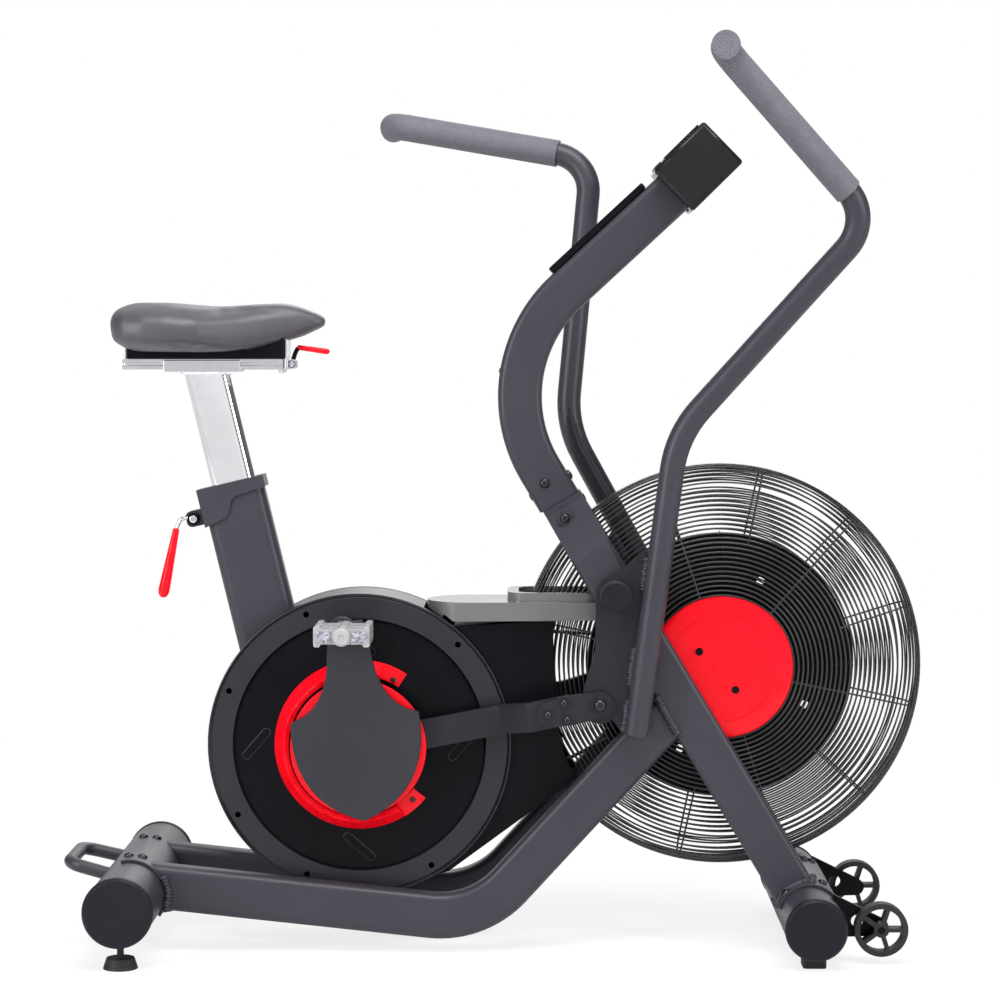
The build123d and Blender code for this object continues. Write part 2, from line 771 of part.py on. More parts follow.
# slide sleeve: a channel on top of the post with a rib each side that runs in the rail's grooves
sleeve_rear = -293.7
sleeve_front = -178.0
sleeve_middle = (sleeve_rear + sleeve_front) / 2
groove_z = rail_z + seat_rail_height / 2
with BuildPart() as seat_sleeve:
    with BuildSketch(Plane(origin=right(sleeve_rear, 0, 0), x_dir=(0, 1, 0), z_dir=(1, 0, 0))):
        with Locations((0, rail_z + 5.5)):
            Rectangle(2 * (seat_rail_half + free_gap + sleeve_wall), 18)
        with Locations((0, rail_z + 14 - free_gap)):
            Rectangle(2 * (seat_rail_half + free_gap), 28, mode=Mode.SUBTRACT)
        for out in (seat_rail_half, -seat_rail_half):
            with Locations((out, groove_z)):
                Rectangle(6, 4)
    extrude(amount=sleeve_front - sleeve_rear)
seat_sleeve.part.label = "seat_sleeve"
export_step(seat_sleeve.part, "parts/seat_sleeve.step")

# slide rail under the saddle
rail_rear = -356.0
rail_front = -115.0
slide_lever_pin = (-103.0, 873.0)
with BuildPart() as seat_rail:
    with BuildSketch(Plane(origin=right(rail_rear, 0, 0), x_dir=(0, 1, 0), z_dir=(1, 0, 0))):
        with Locations((0, rail_z + seat_rail_height / 2)):
            Rectangle(2 * seat_rail_half, seat_rail_height)
        for out in (seat_rail_half, -seat_rail_half):
            with Locations((out, groove_z)):
                Rectangle(8, 4 + 2 * free_gap, mode=Mode.SUBTRACT)
    extrude(amount=rail_front - rail_rear)
    for out in (7.5, -11.5):
        with BuildSketch(side(out)):
            with Locations((rail_front + 9, slide_lever_pin[1])):
                RectangleRounded(20, 14, 5)
        extrude(amount=4)
    with BuildSketch(side(0)):
        with Locations(slide_lever_pin):
            Circle(3 + running_gap)
    extrude(amount=20, both=True, mode=Mode.SUBTRACT)
seat_rail.part.label = "seat_rail"
export_step(seat_rail.part, "parts/seat_rail.step")

# saddle base: stepped pan between the rail and the cushion
base_bottom = rail_z + seat_rail_height + fit_gap
with BuildPart() as saddle_base:
    with BuildSketch(Plane.XY.offset(base_bottom)):
        with Locations((crank_x - 232, 0)):
            RectangleRounded(230, 76, 14)
    extrude(amount=8)
    with BuildSketch(Plane.XY.offset(base_bottom + 8)):
        with Locations((crank_x - 240, 0)):
            RectangleRounded(222, 110, 18)
    extrude(amount=8)
saddle_base.part.label = "saddle_base"
export_step(saddle_base.part, "parts/saddle_base.step")

# saddle: one closed solid, the side view cut by the plan view
saddle_half = 122.0
with BuildPart() as saddle:
    with BuildSketch(side(0)):
        with BuildLine():
            Polyline((-357, 903), (-341, base_bottom + 16.2), (-180, base_bottom + 16.2), (-141.5, 910), (-54, 931))
            Spline((-54, 931), (-68, 951), (-103, 963), (-199, 958), (-300, 966), (-345, 965))
            Spline((-345, 965), (-369, 942), (-374, 918), (-357, 903))
        make_face()
    extrude(amount=saddle_half, both=True)
    with BuildSketch(Plane.XY.offset(800)):
        with BuildLine():
            rear = crank_x - 374.2
            nose = crank_x - 53
            Line((rear, 70), (rear, -70))
            Spline((rear, -70), (rear + 70, -saddle_half + 1), (rear + 170, -78), (nose - 40, -36), (nose, 0),
                   tangents=[(0, -1), (0, 1)])
            Spline((rear, 70), (rear + 70, saddle_half - 1), (rear + 170, 78), (nose - 40, 36), (nose, 0),
                   tangents=[(0, 1), (0, -1)])
        make_face()
    extrude(amount=300, mode=Mode.INTERSECT)
saddle.part.label = "saddle"
export_step(saddle.part, "parts/saddle.step")

# slide lock lever under the saddle's nose
with BuildPart() as slide_lever:
    with BuildSketch(side(-12)):
        with Locations(slide_lever_pin):
            Circle(3)
    extrude(amount=24)
    with BuildSketch(side(-7)):
        with Locations(slide_lever_pin):
            Circle(7)
        with BuildLine():
            Polyline((-106, 878), (-97, 900), (-84, 900), (-46, 895), (-46, 889), (-84, 893), (-90, 892), (-98, 872),
                     close=True)
        make_face()
    extrude(amount=14)
slide_lever.part.label = "slide_lever"
export_step(slide_lever.part, "parts/slide_lever.step")

# ---------------------------------------------------------------- shroud and guard rings
hole_radius = 210.6
hole_angles = (45.6, 112.0, 157.5, 210.0, 248.0, 300.7)
with BuildPart() as seat_tube_clearance:
    with BuildSketch(across_post(-collar_drop - 60)):
        with Locations((0, tube_shift)):
            RectangleRounded(tube_width + 2, tube_depth + 2, 17)
    extrude(amount=-640)

with BuildPart() as shroud_right:
    with BuildSketch(radial(0, crank_z, 90)):
        with BuildLine():
            Polyline(
                (spindle_radius + 6, shroud_half - shroud_recess),
                (shroud_recess_radius - 4, shroud_half - shroud_recess),
                (shroud_recess_radius, shroud_half),
                (shroud_radius - 6, shroud_half),
                (shroud_radius, shroud_half - 6),
                (shroud_radius, fit_gap / 2),
                (shroud_radius - shroud_wall, fit_gap / 2),
                (shroud_radius - shroud_wall, shroud_half - 8),
                (shroud_radius - 8, shroud_half - shroud_wall),
                (shroud_recess_radius + 2, shroud_half - shroud_wall),
                (shroud_recess_radius - 3, shroud_half - shroud_recess - shroud_wall),
                (spindle_radius + 6, shroud_half - shroud_recess - shroud_wall),
                close=True,
            )
        make_face()
    revolve(axis=crank_axis, revolution_arc=360)
    with BuildSketch(side(0)):
        with Locations((170, crank_z + 5)):
            Rectangle(220, 400)
    extrude(amount=shroud_half - 12, mode=Mode.SUBTRACT)
    add(seat_tube_clearance.part, mode=Mode.SUBTRACT)
    with BuildSketch(side(0)):
        with Locations([step((0, crank_z), angle, hole_radius) for angle in hole_angles]):
            Circle(4.5)
    extrude(amount=shroud_half + 1, mode=Mode.SUBTRACT)
shroud_right.part.label = "shroud_right"
export_step(shroud_right.part, "parts/shroud_right.step")

with BuildPart() as shroud_left:
    add(other_side(shroud_right.part))
shroud_left.part.label = "shroud_left"
export_step(shroud_left.part, "parts/shroud_left.step")

# C-shaped red guard rings, open at the front where the rods pass
ring_base = shroud_half - shroud_recess + fit_gap
ring_start = 73.0
ring_sweep = 230.0
lug_start = -38.0
with BuildPart() as guard_rings:
    with BuildSketch(radial(0, crank_z, ring_start)):
        with BuildLine():
            Polyline(
                (ring_outer, ring_base),
                (ring_crest, ring_base + ring_height),
                (ring_inner, ring_base + ring_height - 3),
                (ring_inner, ring_base),
                close=True,
            )
        make_face()
    revolve(axis=crank_axis, revolution_arc=ring_sweep)
    with BuildSketch(radial(0, crank_z, ring_start + ring_sweep - 1)):
        with Locations(((ring_outer + ring_inner) / 2, ring_base + 2)):
            Rectangle(ring_outer - ring_inner, 4)
    revolve(axis=crank_axis, revolution_arc=360 + lug_start - ring_start - ring_sweep)
    with BuildSketch(radial(0, crank_z, 56)):
        with Locations(((ring_outer + ring_inner) / 2, ring_base + 2)):
            Rectangle(ring_outer - ring_inner, 4)
    revolve(axis=crank_axis, revolution_arc=ring_start - 56 + 1)
    mirror(about=Plane.XZ)
guard_rings.part.label = "guard_rings"
export_step(guard_rings.part, "parts/guard_rings.step")

# small pan-head screws of the shroud's rings and casing
screw_radius = 4.0
ring_screws = ((62.3, 110.0), (-46.0, 115.0))
with BuildPart() as shroud_screws:
    with BuildSketch(side(ring_base + 4)):
        with Locations([step((0, crank_z), angle, radius) for angle, radius in ring_screws]):
            Circle(screw_radius)
    extrude(amount=2)
    mirror(about=Plane.XZ)
shroud_screws.part.label = "shroud_screws"
export_step(shroud_screws.part, "parts/shroud_screws.step")

# ---------------------------------------------------------------- belt casing and its silver cover
casing_half = 57.0
casing_wall = 2.5
casing_top = 482.6


def casing_outline(inset):
    """Side view of the casing, a distance inside its outer face."""
    with BuildLine() as outline:
        Polyline(
            (90, 100 + inset),
            (134, 114 + inset),
            (300, 236 + 1.2 * inset),
            (326, 256 + inset),
            (309, 284),
            (294, 340),
            (289, casing_top - inset),
            (90, casing_top - inset),
            close=True,
        )
    return outline


with BuildPart() as belt_casing:
    with BuildSketch(side(0)):
        with BuildLine():
            add(casing_outline(0).line)
        make_face()
        with Locations((0, crank_z)):
            Circle(shroud_radius + free_gap, mode=Mode.SUBTRACT)
    extrude(amount=casing_half, both=True)
    with BuildSketch(side(0)):
        with BuildLine():
            add(casing_outline(casing_wall).line)
        make_face()
        with Locations((cage_x, cage_z)):
            Circle(cage_radius + 1.5)
    extrude(amount=casing_half - casing_wall, both=True, mode=Mode.SUBTRACT)
belt_casing.part.label = "belt_casing"
export_step(belt_casing.part, "parts/belt_casing.step")

tray_bottom = 483.0
tray_top = 519.0
tray_half = 67.0
tray_tip = 100.0
tray_front = 361.0
tray_wall = 2.5
mouth_rear = 229.0
mouth_half = 56.0
with BuildPart() as top_cover:
    with BuildSketch(Plane.XY.offset(tray_bottom)):
        with BuildLine():
            Polyline((crank_x + tray_tip + 60, tray_half), (crank_x + tray_front, tray_half),
                     (crank_x + tray_front, -tray_half), (crank_x + tray_tip + 60, -tray_half))
            ThreePointArc((crank_x + tray_tip + 60, -tray_half), (crank_x + tray_tip, 0),
                          (crank_x + tray_tip + 60, tray_half))
        make_face()
    extrude(amount=tray_top - tray_bottom)
    offset(amount=-tray_wall, openings=top_cover.faces().sort_by(Axis.Z)[0])
    with BuildSketch(Plane.XY.offset(tray_top - 4)):
        with Locations((crank_x + (mouth_rear + tray_front) / 2, 0)):
            RectangleRounded(tray_front - mouth_rear + 16, 2 * mouth_half + 14, 30)
    extrude(amount=18)
    with BuildSketch(Plane.XY.offset(tray_bottom - 1)):
        with Locations((crank_x + mouth_rear + 9 + 100, 0)):
            RectangleRounded(200, 2 * mouth_half - 4, 24)
    extrude(amount=80, mode=Mode.SUBTRACT)
    with Locations((crank_x + tray_front + 50, 0, tray_top)):
        Box(100, 200, 100, mode=Mode.SUBTRACT)
    with BuildSketch(side_about(0, crank_z, 0)):
        Circle(shroud_radius + free_gap)
    extrude(amount=shroud_half + free_gap, both=True, mode=Mode.SUBTRACT)
top_cover.part.label = "top_cover"
export_step(top_cover.part, "parts/top_cover.step")

# ---------------------------------------------------------------- crank
with BuildPart() as crank_spindle:
    with BuildSketch(side_about(0, crank_z, 0)):
        Circle(spindle_radius)
    extrude(amount=web_inner + 1, both=True)
    for start in (web_inner, -web_inner):
        with BuildSketch(side_about(0, crank_z, start)):
            Circle(web_radius)
        extrude(amount=(web_outer - web_inner) * (1 if start > 0 else -1))
crank_spindle.part.label = "crank_spindle"
export_step(crank_spindle.part, "parts/crank_spindle.step")

with BuildPart() as drive_pulley:
    with BuildSketch(side_about(0, crank_z, -belt_middle - belt_width / 2)):
        Circle(pulley_radius)
        Circle(spindle_radius, mode=Mode.SUBTRACT)
        with PolarLocations(105, 5):
            Circle(46, mode=Mode.SUBTRACT)
    extrude(amount=belt_width)
drive_pulley.part.label = "drive_pulley"
export_step(drive_pulley.part, "parts/drive_pulley.step")


def arm_plane(out):
    """Plane of the right crank arm: its Y runs from the crank axis to the pedal."""
    return side_about(0, crank_z, out, arm_angle - 90)


def both_cranks(piece):
    """A right-hand crank piece with its left-hand twin half a turn away."""
    return [piece, other_side(piece, crank_axis, 180)]


with BuildPart() as one_arm:
    with BuildSketch(arm_plane(disc_inner + disc_thickness)):
        with BuildLine():
            Polyline((-26, 0), (-14, arm_length), (14, arm_length), (26, 0), close=True)
        make_face()
        Circle(30)
        with Locations((0, arm_length)):
            Circle(14)
            Circle(pedal_axle_radius, mode=Mode.SUBTRACT)
    extrude(amount=cover_outer - cover_wall - disc_inner - disc_thickness - 0.5)
with BuildPart() as crank_arms:
    add(both_cranks(one_arm.part))
crank_arms.part.label = "crank_arms"
export_step(crank_arms.part, "parts/crank_arms.step")

with BuildPart() as one_disc:
    with BuildSketch(side_about(0, crank_z, disc_inner)):
        Circle(disc_radius)
    extrude(amount=disc_thickness)
with BuildPart() as crank_discs:
    add(both_cranks(one_disc.part))
crank_discs.part.label = "crank_discs"
export_step(crank_discs.part, "parts/crank_discs.step")

# crank cover: teardrop tray over the arm
neck_along = 172.0
neck_radius = 25.0
cover_right_side = ((31.4, 150), (36.4, 126), (47, 85), (59, 71), (76, 61), (93.4, 50.5))
with BuildPart() as one_cover:
    with BuildSketch(arm_plane(cover_inner)):
        with BuildLine():
            CenterArc((0, neck_along), neck_radius, 0, 180)
            Polyline((neck_radius, neck_along), *cover_right_side)
            Polyline((-neck_radius, neck_along), *[(-across, along) for across, along in cover_right_side])
            ThreePointArc(cover_right_side[-1], (80, -30), (0, -100.6))
            ThreePointArc((-cover_right_side[-1][0], cover_right_side[-1][1]), (-80, -30), (0, -100.6))
        make_face()
    extrude(amount=cover_outer - cover_inner)
    cover_back = one_cover.faces().sort_by(Axis.Y)[-1]
    offset(amount=-cover_wall, openings=cover_back)
    with BuildSketch(arm_plane(cover_inner)):
        with Locations((0, arm_length)):
            Circle(pedal_axle_radius + 1.5)
    extrude(amount=30, mode=Mode.SUBTRACT)
with BuildPart() as crank_covers:
    add(both_cranks(one_cover.part))
crank_covers.part.label = "crank_covers"
export_step(crank_covers.part, "parts/crank_covers.step")

# pedal spindles, screwed into the arms
with BuildPart() as one_spindle:
    with BuildSketch(side_about(*pedal, disc_inner + disc_thickness + 0.5)):
        Circle(pedal_axle_radius)
    extrude(amount=pedal_outer - 12 - disc_inner - disc_thickness)
with BuildPart() as pedal_spindles:
    add(both_cranks(one_spindle.part))
pedal_spindles.part.label = "pedal_spindles"
export_step(pedal_spindles.part, "parts/pedal_spindles.step")

# pedals: barrel, two toothed side bars and three cross bars
with BuildPart() as pedal_right:
    with BuildSketch(side_about(*pedal, pedal_inner)):
        Circle(13.5)
    extrude(amount=pedal_outer - pedal_inner)
    with BuildSketch(side_about(*pedal, pedal_inner + 6)):
        with Locations((pedal_length / 2 - 5, 0), (5 - pedal_length / 2, 0)):
            RectangleRounded(10, pedal_height, 3)
    extrude(amount=pedal_outer - pedal_inner - 10)
    for out in (pedal_inner + 6, (pedal_inner + pedal_outer) / 2 - 5, pedal_outer - 14):
        with BuildSketch(side_about(*pedal, out)):
            Rectangle(pedal_length - 4, pedal_height - 8)
        extrude(amount=10)
    with BuildSketch(side_about(*pedal, pedal_inner - 1)):
        Circle(pedal_axle_radius + running_gap)
    extrude(amount=pedal_outer - pedal_inner - 10, mode=Mode.SUBTRACT)
pedal_right.part.label = "pedal_right"
export_step(pedal_right.part, "parts/pedal_right.step")

with BuildPart() as pedal_left:
    add(other_side(pedal_right.part, crank_axis, 180))
pedal_left.part.label = "pedal_left"
export_step(pedal_left.part, "parts/pedal_left.step")

# ---------------------------------------------------------------- levers
handle_points = [
    right(410.8, 330, 130),
    right(468.7, 770.7, 140),
    right(745.9, 1081.9, 183),
    right(522.0, 1317.0, 246),
    right(520.0, 1317.0, 306),
]
grip_start = 46.0
with BuildPart() as handle_right:
    with BuildLine() as handle_line:
        FilletPolyline(*handle_points, radius=[165, 62, 38])
    with BuildSketch(Plane(handle_line.line @ 0, z_dir=handle_line.line % 0)):
        Circle(handle_tube_radius)
    sweep()
    with BuildSketch(side(lever_plate_inner)):
        with BuildLine():
            Polyline(
                (430, 598),
                (417.6, 593),
                (365, 556),
                (351.5, 540),
                (351, 455),
                (333, 392.6),
                eye,
                (387.5, 336.5),
                (408, 336),
                close=True,
            )
        make_face()
        with Locations(eye):
            Circle(29)
        with Locations((pivot_x, pivot_z)):
            Circle(29)
    extrude(amount=lever_plate_thickness)
    with BuildSketch(side_about(pivot_x, pivot_z, side_outer + 1.6)):
        Circle(23)
    extrude(amount=pin_end - 0.4 - side_outer - 1.6)
    with BuildSketch(side_about(pivot_x, pivot_z, side_outer)):
        Circle(pivot_pin_radius + running_gap)
    extrude(amount=60, mode=Mode.SUBTRACT)
    with BuildSketch(side_about(*eye, side_outer)):
        Circle(eye_pin_radius + running_gap)
    extrude(amount=60, mode=Mode.SUBTRACT)
handle_right.part.label = "handle_right"
export_step(handle_right.part, "parts/handle_right.step")

with BuildPart() as handle_left:
    add(other_side(handle_right.part, pivot_axis, lever_swing))
handle_left.part.label = "handle_left"
export_step(handle_left.part, "parts/handle_left.step")

# foam grips over the straight end and the outward bend
grip_span = 0.655
with BuildPart() as grip_right:
    with BuildLine() as grip_line:
        FilletPolyline(right(709.7, 1120, 193.2), *handle_points[3:], radius=38)
    with BuildSketch(Plane(grip_line.line @ 0, z_dir=grip_line.line % 0)):
        Circle(grip_radius)
        Circle(handle_tube_radius, mode=Mode.SUBTRACT)
    sweep()
    with BuildSketch(Plane(grip_line.line @ 1, z_dir=grip_line.line % 1)):
        Circle(grip_radius)
    extrude(amount=4)
grip_right.part.label = "grip_right"
export_step(grip_right.part, "parts/grip_right.step")

with BuildPart() as grip_left:
    add(other_side(grip_right.part, pivot_axis, lever_swing))
grip_left.part.label = "grip_left"
export_step(grip_left.part, "parts/grip_left.step")

# ---------------------------------------------------------------- rods
# rod frame: X from the crank pin to the eye, Y up, seen from the right
joggle_start = 271.0
joggle_end = 311.0
rod_tail = 378.0
strap_start = 322.0
strap_bolts = ((337.0, 0.0), (363.0, 12.5), (363.0, -12.5))
rod_outer_inner = strap_inner - rod_thickness
rod_from_above = Plane(
    origin=right(*pin, 0),
    x_dir=(cos(radians(rod_angle)), 0, sin(radians(rod_angle))),
    z_dir=(sin(radians(rod_angle)), 0, -cos(radians(rod_angle))),
)
with BuildPart() as rod_right:
    with BuildSketch(rod_from_above):
        with BuildLine():
            Polyline(
                (-rod_height / 2, rod_inner),
                (joggle_start, rod_inner),
                (joggle_end, rod_outer_inner),
                (rod_tail, rod_outer_inner),
                (rod_tail, strap_inner),
                (joggle_end - 4, strap_inner),
                (joggle_start - 4, rod_inner + rod_thickness),
                (-rod_height / 2, rod_inner + rod_thickness),
                close=True,
            )
        make_face()
    extrude(amount=rod_height / 2, both=True)
    fillet(rod_right.edges().filter_by(Axis.Y).sort_by(Axis.X)[:2], rod_height / 2 - 0.5)
    fillet(rod_right.edges().filter_by(Axis.Y).sort_by(Axis.X)[-2:], 10)
    with BuildSketch(side_about(*pin, web_outer + free_gap, rod_angle)):
        Circle(10)
    extrude(amount=disc_inner - web_outer - 2 * free_gap)
    with BuildSketch(side_about(*pin, strap_inner, rod_angle)):
        with BuildLine():
            Polyline(
                (strap_start, -8),
                (strap_start + 9, -18),
                (strap_start + 48, -22),
                (rod_length + 2, -19),
                (rod_length + 2, 19),
                (strap_start + 48, 22),
                (strap_start + 9, 18),
                (strap_start, 8),
                close=True,
            )
        make_face()
        with Locations((rod_length, 0)):
            Circle(19)
    extrude(amount=strap_thickness)
    with BuildSketch(side_about(*pin, strap_inner + strap_thickness, rod_angle)):
        with Locations(strap_bolts):
            Circle(5.5)
    extrude(amount=4)
    with BuildSketch(side_about(*eye, side_outer + 3)):
        Circle(eye_pin_radius)
    extrude(amount=strap_inner + strap_thickness + 8 - side_outer - 3)
    with BuildSketch(side_about(*eye, strap_inner + strap_thickness)):
        Circle(13)
    extrude(amount=2.5)
    with BuildSketch(side_about(*eye, side_outer + 2)):
        RegularPolygon(12, 6)
    extrude(amount=7)
rod_right.part.label = "rod_right"
export_step(rod_right.part, "parts/rod_right.step")

rod_left_turn = Axis(right(*eye, 0), (0, -1, 0))
left_eye_shift = (left_eye[0] - eye[0], 0, left_eye[1] - eye[1])
with BuildPart() as rod_left:
    add(Pos(*left_eye_shift) * other_side(rod_right.part, rod_left_turn, left_rod_angle - rod_angle))
rod_left.part.label = "rod_left"
export_step(rod_left.part, "parts/rod_left.step")

# ---------------------------------------------------------------- transport wheels
with BuildPart() as wheel_brackets:
    with BuildSketch(side(wheel_inner - 8)):
        with BuildLine():
            Polyline(
                (front_bar_x + 30, front_bar_z + 40),
                (wheel_x + 4, wheel_z + 13),
                (wheel_x + 4, wheel_z - 13),
                (front_bar_x + 30, front_bar_z - 24),
                close=True,
            )
        make_face()
        with Locations((wheel_x, wheel_z)):
            Circle(13)
        with Locations((front_bar_x, front_bar_z)):
            Circle(front_bar_radius + fit_gap, mode=Mode.SUBTRACT)
        with Locations((front_bar_x + 66, front_bar_z)):
            Circle(9, mode=Mode.SUBTRACT)
    extrude(amount=6)
    with BuildSketch(side_about(wheel_x, wheel_z, wheel_inner - 3)):
        Circle(5)
    extrude(amount=wheel_outer - wheel_inner + 4)
    mirror(about=Plane.XZ)
wheel_brackets.part.label = "wheel_brackets"
export_step(wheel_brackets.part, "parts/wheel_brackets.step")

with BuildPart() as wheel_right:
    with BuildSketch(side_about(wheel_x, wheel_z, wheel_inner)):
        Circle(wheel_radius)
        Circle(wheel_radius - 8, mode=Mode.SUBTRACT)
        Circle(11)
        with PolarLocations(0, 5):
            with Locations((wheel_radius / 2, 0)):
                Rectangle(wheel_radius - 14, 6)
        Circle(5 + running_gap, mode=Mode.SUBTRACT)
    extrude(amount=wheel_outer - wheel_inner)
wheel_right.part.label = "wheel_right"
export_step(wheel_right.part, "parts/wheel_right.step")

with BuildPart() as wheel_left:
    add(other_side(wheel_right.part))
wheel_left.part.label = "wheel_left"
export_step(wheel_left.part, "parts/wheel_left.step")

# ---------------------------------------------------------------- console and mast fittings
console_half = 66.0
console_angle = 44.5
console_middle = (500.0, 1161.0)
with BuildPart() as console_housing:
    with BuildSketch(side_about(*console_middle, 0, console_angle)):
        with Locations((0, 4)):
            RectangleRounded(104, 84, 5)
    extrude(amount=console_half, both=True)
    chamfer(console_housing.edges().filter_by(Plane.XZ).sort_by(Axis.Y)[:4], 5)
    add(mast.part, mode=Mode.SUBTRACT)
console_housing.part.label = "console_housing"
export_step(console_housing.part, "parts/console_housing.step")

with BuildPart() as console_screen:
    with BuildSketch(side_about(*console_middle, 0, console_angle)):
        with Locations((8, 47.6)):
            RectangleRounded(70, 3, 1)
    extrude(amount=52, both=True)
console_screen.part.label = "console_screen"
export_step(console_screen.part, "parts/console_screen.step")

with BuildPart() as console_keys:
    for out in (-39, -13, 13, 39):
        with BuildSketch(side_about(*console_middle, out - 9, console_angle)):
            with Locations((-40, 47.4)):
                RectangleRounded(12, 2.6, 1)
        extrude(amount=18)
console_keys.part.label = "console_keys"
export_step(console_keys.part, "parts/console_keys.step")

# black face plate on the rider's side of the mast
plate_start = mast_depth / 2 + fit_gap
with BuildPart() as mast_face_plate:
    with BuildSketch(side_about(*mast_bend_end, 0, mast_upper_lean)):
        with Locations((98, plate_start + 4.8)):
            RectangleRounded(188, 9.6, 2)
    extrude(amount=26, both=True)
    add(console_housing.part, mode=Mode.SUBTRACT)
mast_face_plate.part.label = "mast_face_plate"
export_step(mast_face_plate.part, "parts/mast_face_plate.step")


# ---------------------------------------------------------------- bolts
def bolt_head(plane, radius=7.5, height=5.0):
    """Button head on a face."""
    with BuildPart() as head:
        with BuildSketch(plane):
            Circle(radius)
        extrude(amount=height, taper=12)
    return head.part


def on_bar(forward, up, radius, out, angle):
    """Plane on a stabilizer's saddle plate, its normal pointing away from the tube."""
    direction = (cos(radians(angle)), 0, sin(radians(angle)))
    middle = Vector(*right(forward, up, out))
    reach = radius + fit_gap + saddle_thickness
    return Plane(origin=middle + Vector(*direction) * reach, x_dir=(0, 1, 0), z_dir=direction)


bolt_planes = []
for angle in (74, 96):
    bolt_planes.append(on_bar(rear_bar_x, rear_bar_z, rear_bar_radius, 80, angle))
bolt_planes.append(on_bar(front_bar_x, front_bar_z, front_bar_radius, 88, 63))
bolt_planes.append(on_bar(front_bar_x, front_bar_z, front_bar_radius, 117, 137))
upper_mast_bolt = (277.0, 695.0)
bolt_planes.append(side_about(*upper_mast_bolt, stub_half))
bolt_planes.append(side_about(*lower_mast_bolt, stub_half + bolt_boss_height))
one_side_bolts = [bolt_head(plane) for plane in bolt_planes]
with BuildPart() as frame_bolts:
    add(one_side_bolts)
    mirror(about=Plane.XZ)
frame_bolts.part.label = "frame_bolts"
export_step(frame_bolts.part, "parts/frame_bolts.step")

print("crank_x", round(crank_x, 2), "lever swing", round(lever_swing, 2))
print("eye", eye, "left eye", left_eye, "pin", pin, "rod angles", rod_angle, left_rod_angle)
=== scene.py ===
import json
from math import atan2, cos, degrees, hypot, pi, radians, sin

import bmesh
import bpy
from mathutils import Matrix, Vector


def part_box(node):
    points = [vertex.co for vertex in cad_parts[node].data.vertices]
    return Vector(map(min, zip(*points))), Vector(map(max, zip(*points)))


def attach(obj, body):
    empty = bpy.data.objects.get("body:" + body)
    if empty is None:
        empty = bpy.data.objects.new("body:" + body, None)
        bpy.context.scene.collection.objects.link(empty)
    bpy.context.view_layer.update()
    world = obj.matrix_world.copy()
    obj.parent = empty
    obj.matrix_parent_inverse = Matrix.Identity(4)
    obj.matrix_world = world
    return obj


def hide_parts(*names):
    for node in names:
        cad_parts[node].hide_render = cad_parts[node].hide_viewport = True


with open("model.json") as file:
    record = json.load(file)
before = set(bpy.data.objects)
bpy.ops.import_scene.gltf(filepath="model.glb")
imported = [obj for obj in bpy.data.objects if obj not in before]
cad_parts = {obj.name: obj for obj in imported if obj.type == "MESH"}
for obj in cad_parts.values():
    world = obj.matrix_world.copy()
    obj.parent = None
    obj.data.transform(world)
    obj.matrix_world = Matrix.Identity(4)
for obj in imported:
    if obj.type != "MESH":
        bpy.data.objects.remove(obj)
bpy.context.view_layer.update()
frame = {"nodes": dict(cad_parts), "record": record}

# ---------------------------------------------------------------- stabilizers and side rails
# Two round steel tubes across the floor, joined by two bent side rails. Bent plates are bolted over the
# tubes, with a carry handle at the back. All have one charcoal powder coat, satin with a fine grain.


class Value:
    """A value in a node tree. Arithmetic on it adds Math nodes, and add() puts in any other node."""

    def __init__(self, tree, socket):
        self.tree = tree
        self.socket = socket

    def add(self, kind, inputs=None, output=0, **settings):
        node = self.tree.nodes.new(kind)
        for name, setting in settings.items():
            setattr(node, name, setting)
        for name, value in (inputs or {}).items():
            if isinstance(value, Value):
                self.tree.links.new(value.socket, node.inputs[name])
            else:
                node.inputs[name].default_value = value
        return Value(self.tree, node.outputs[output])

    def maths(self, operation, first, second=0.0):
        return self.add("ShaderNodeMath", {0: first, 1: second}, operation=operation)

    def __add__(self, other):
        return self.maths("ADD", self, other)

    def __sub__(self, other):
        return self.maths("SUBTRACT", self, other)

    def __mul__(self, other):
        return self.maths("MULTIPLY", self, other)

    def __radd__(self, other):
        return self.maths("ADD", other, self)

    def __rsub__(self, other):
        return self.maths("SUBTRACT", other, self)

    def __rmul__(self, other):
        return self.maths("MULTIPLY", other, self)


def finish(name, **constants):
    """A new material with its constants on the shader: returns it, its shader and the place on the piece."""
    made = bpy.data.materials.new(name)
    made.use_nodes = True
    shader = made.node_tree.nodes["Principled BSDF"]
    for socket, value in constants.items():
        shader.inputs[socket.replace("_", " ")].default_value = value
    tree = made.node_tree
    coordinates = tree.nodes.new("ShaderNodeTexCoord")
    return made, shader, Value(tree, coordinates.outputs["Object"])


def feed(shader, socket, value):
    """Links a value to one of the shader's sockets."""
    value.tree.links.new(value.socket, shader.inputs[socket])


def noise(place, scale, detail=2.0):
    """Soft noise, 0 to 1, of a size given in lumps per metre."""
    return place.add("ShaderNodeTexNoise", {"Vector": place, "Scale": scale, "Detail": detail})


def shades(place, mask, dark, light):
    """Colour between two shades by a mask."""
    return place.add("ShaderNodeMix", {0: mask, 6: (*dark, 1), 7: (*light, 1)}, output=2, data_type="RGBA")


def grain(place, height, strength, distance):
    """Bumps of a height pattern, for the shader's Normal."""
    return place.add("ShaderNodeBump", {"Height": height, "Strength": strength, "Distance": distance})


def powdered(name, dark, light, rough, **constants):
    """Powder coat: a fine grain, with shade and gloss that drift in clouds and specks."""
    made, shader, place = finish(name, **constants)
    cloud = noise(place, 7, 3)
    speck = noise(place, 1400, 1)
    feed(shader, "Base Color", shades(place, cloud * 0.5 + speck * 0.5, dark, light))
    feed(shader, "Roughness", rough + 0.08 * cloud + 0.06 * speck)
    feed(shader, "Normal", grain(place, noise(place, 1000, 2), 0.30, 0.0004))
    return made


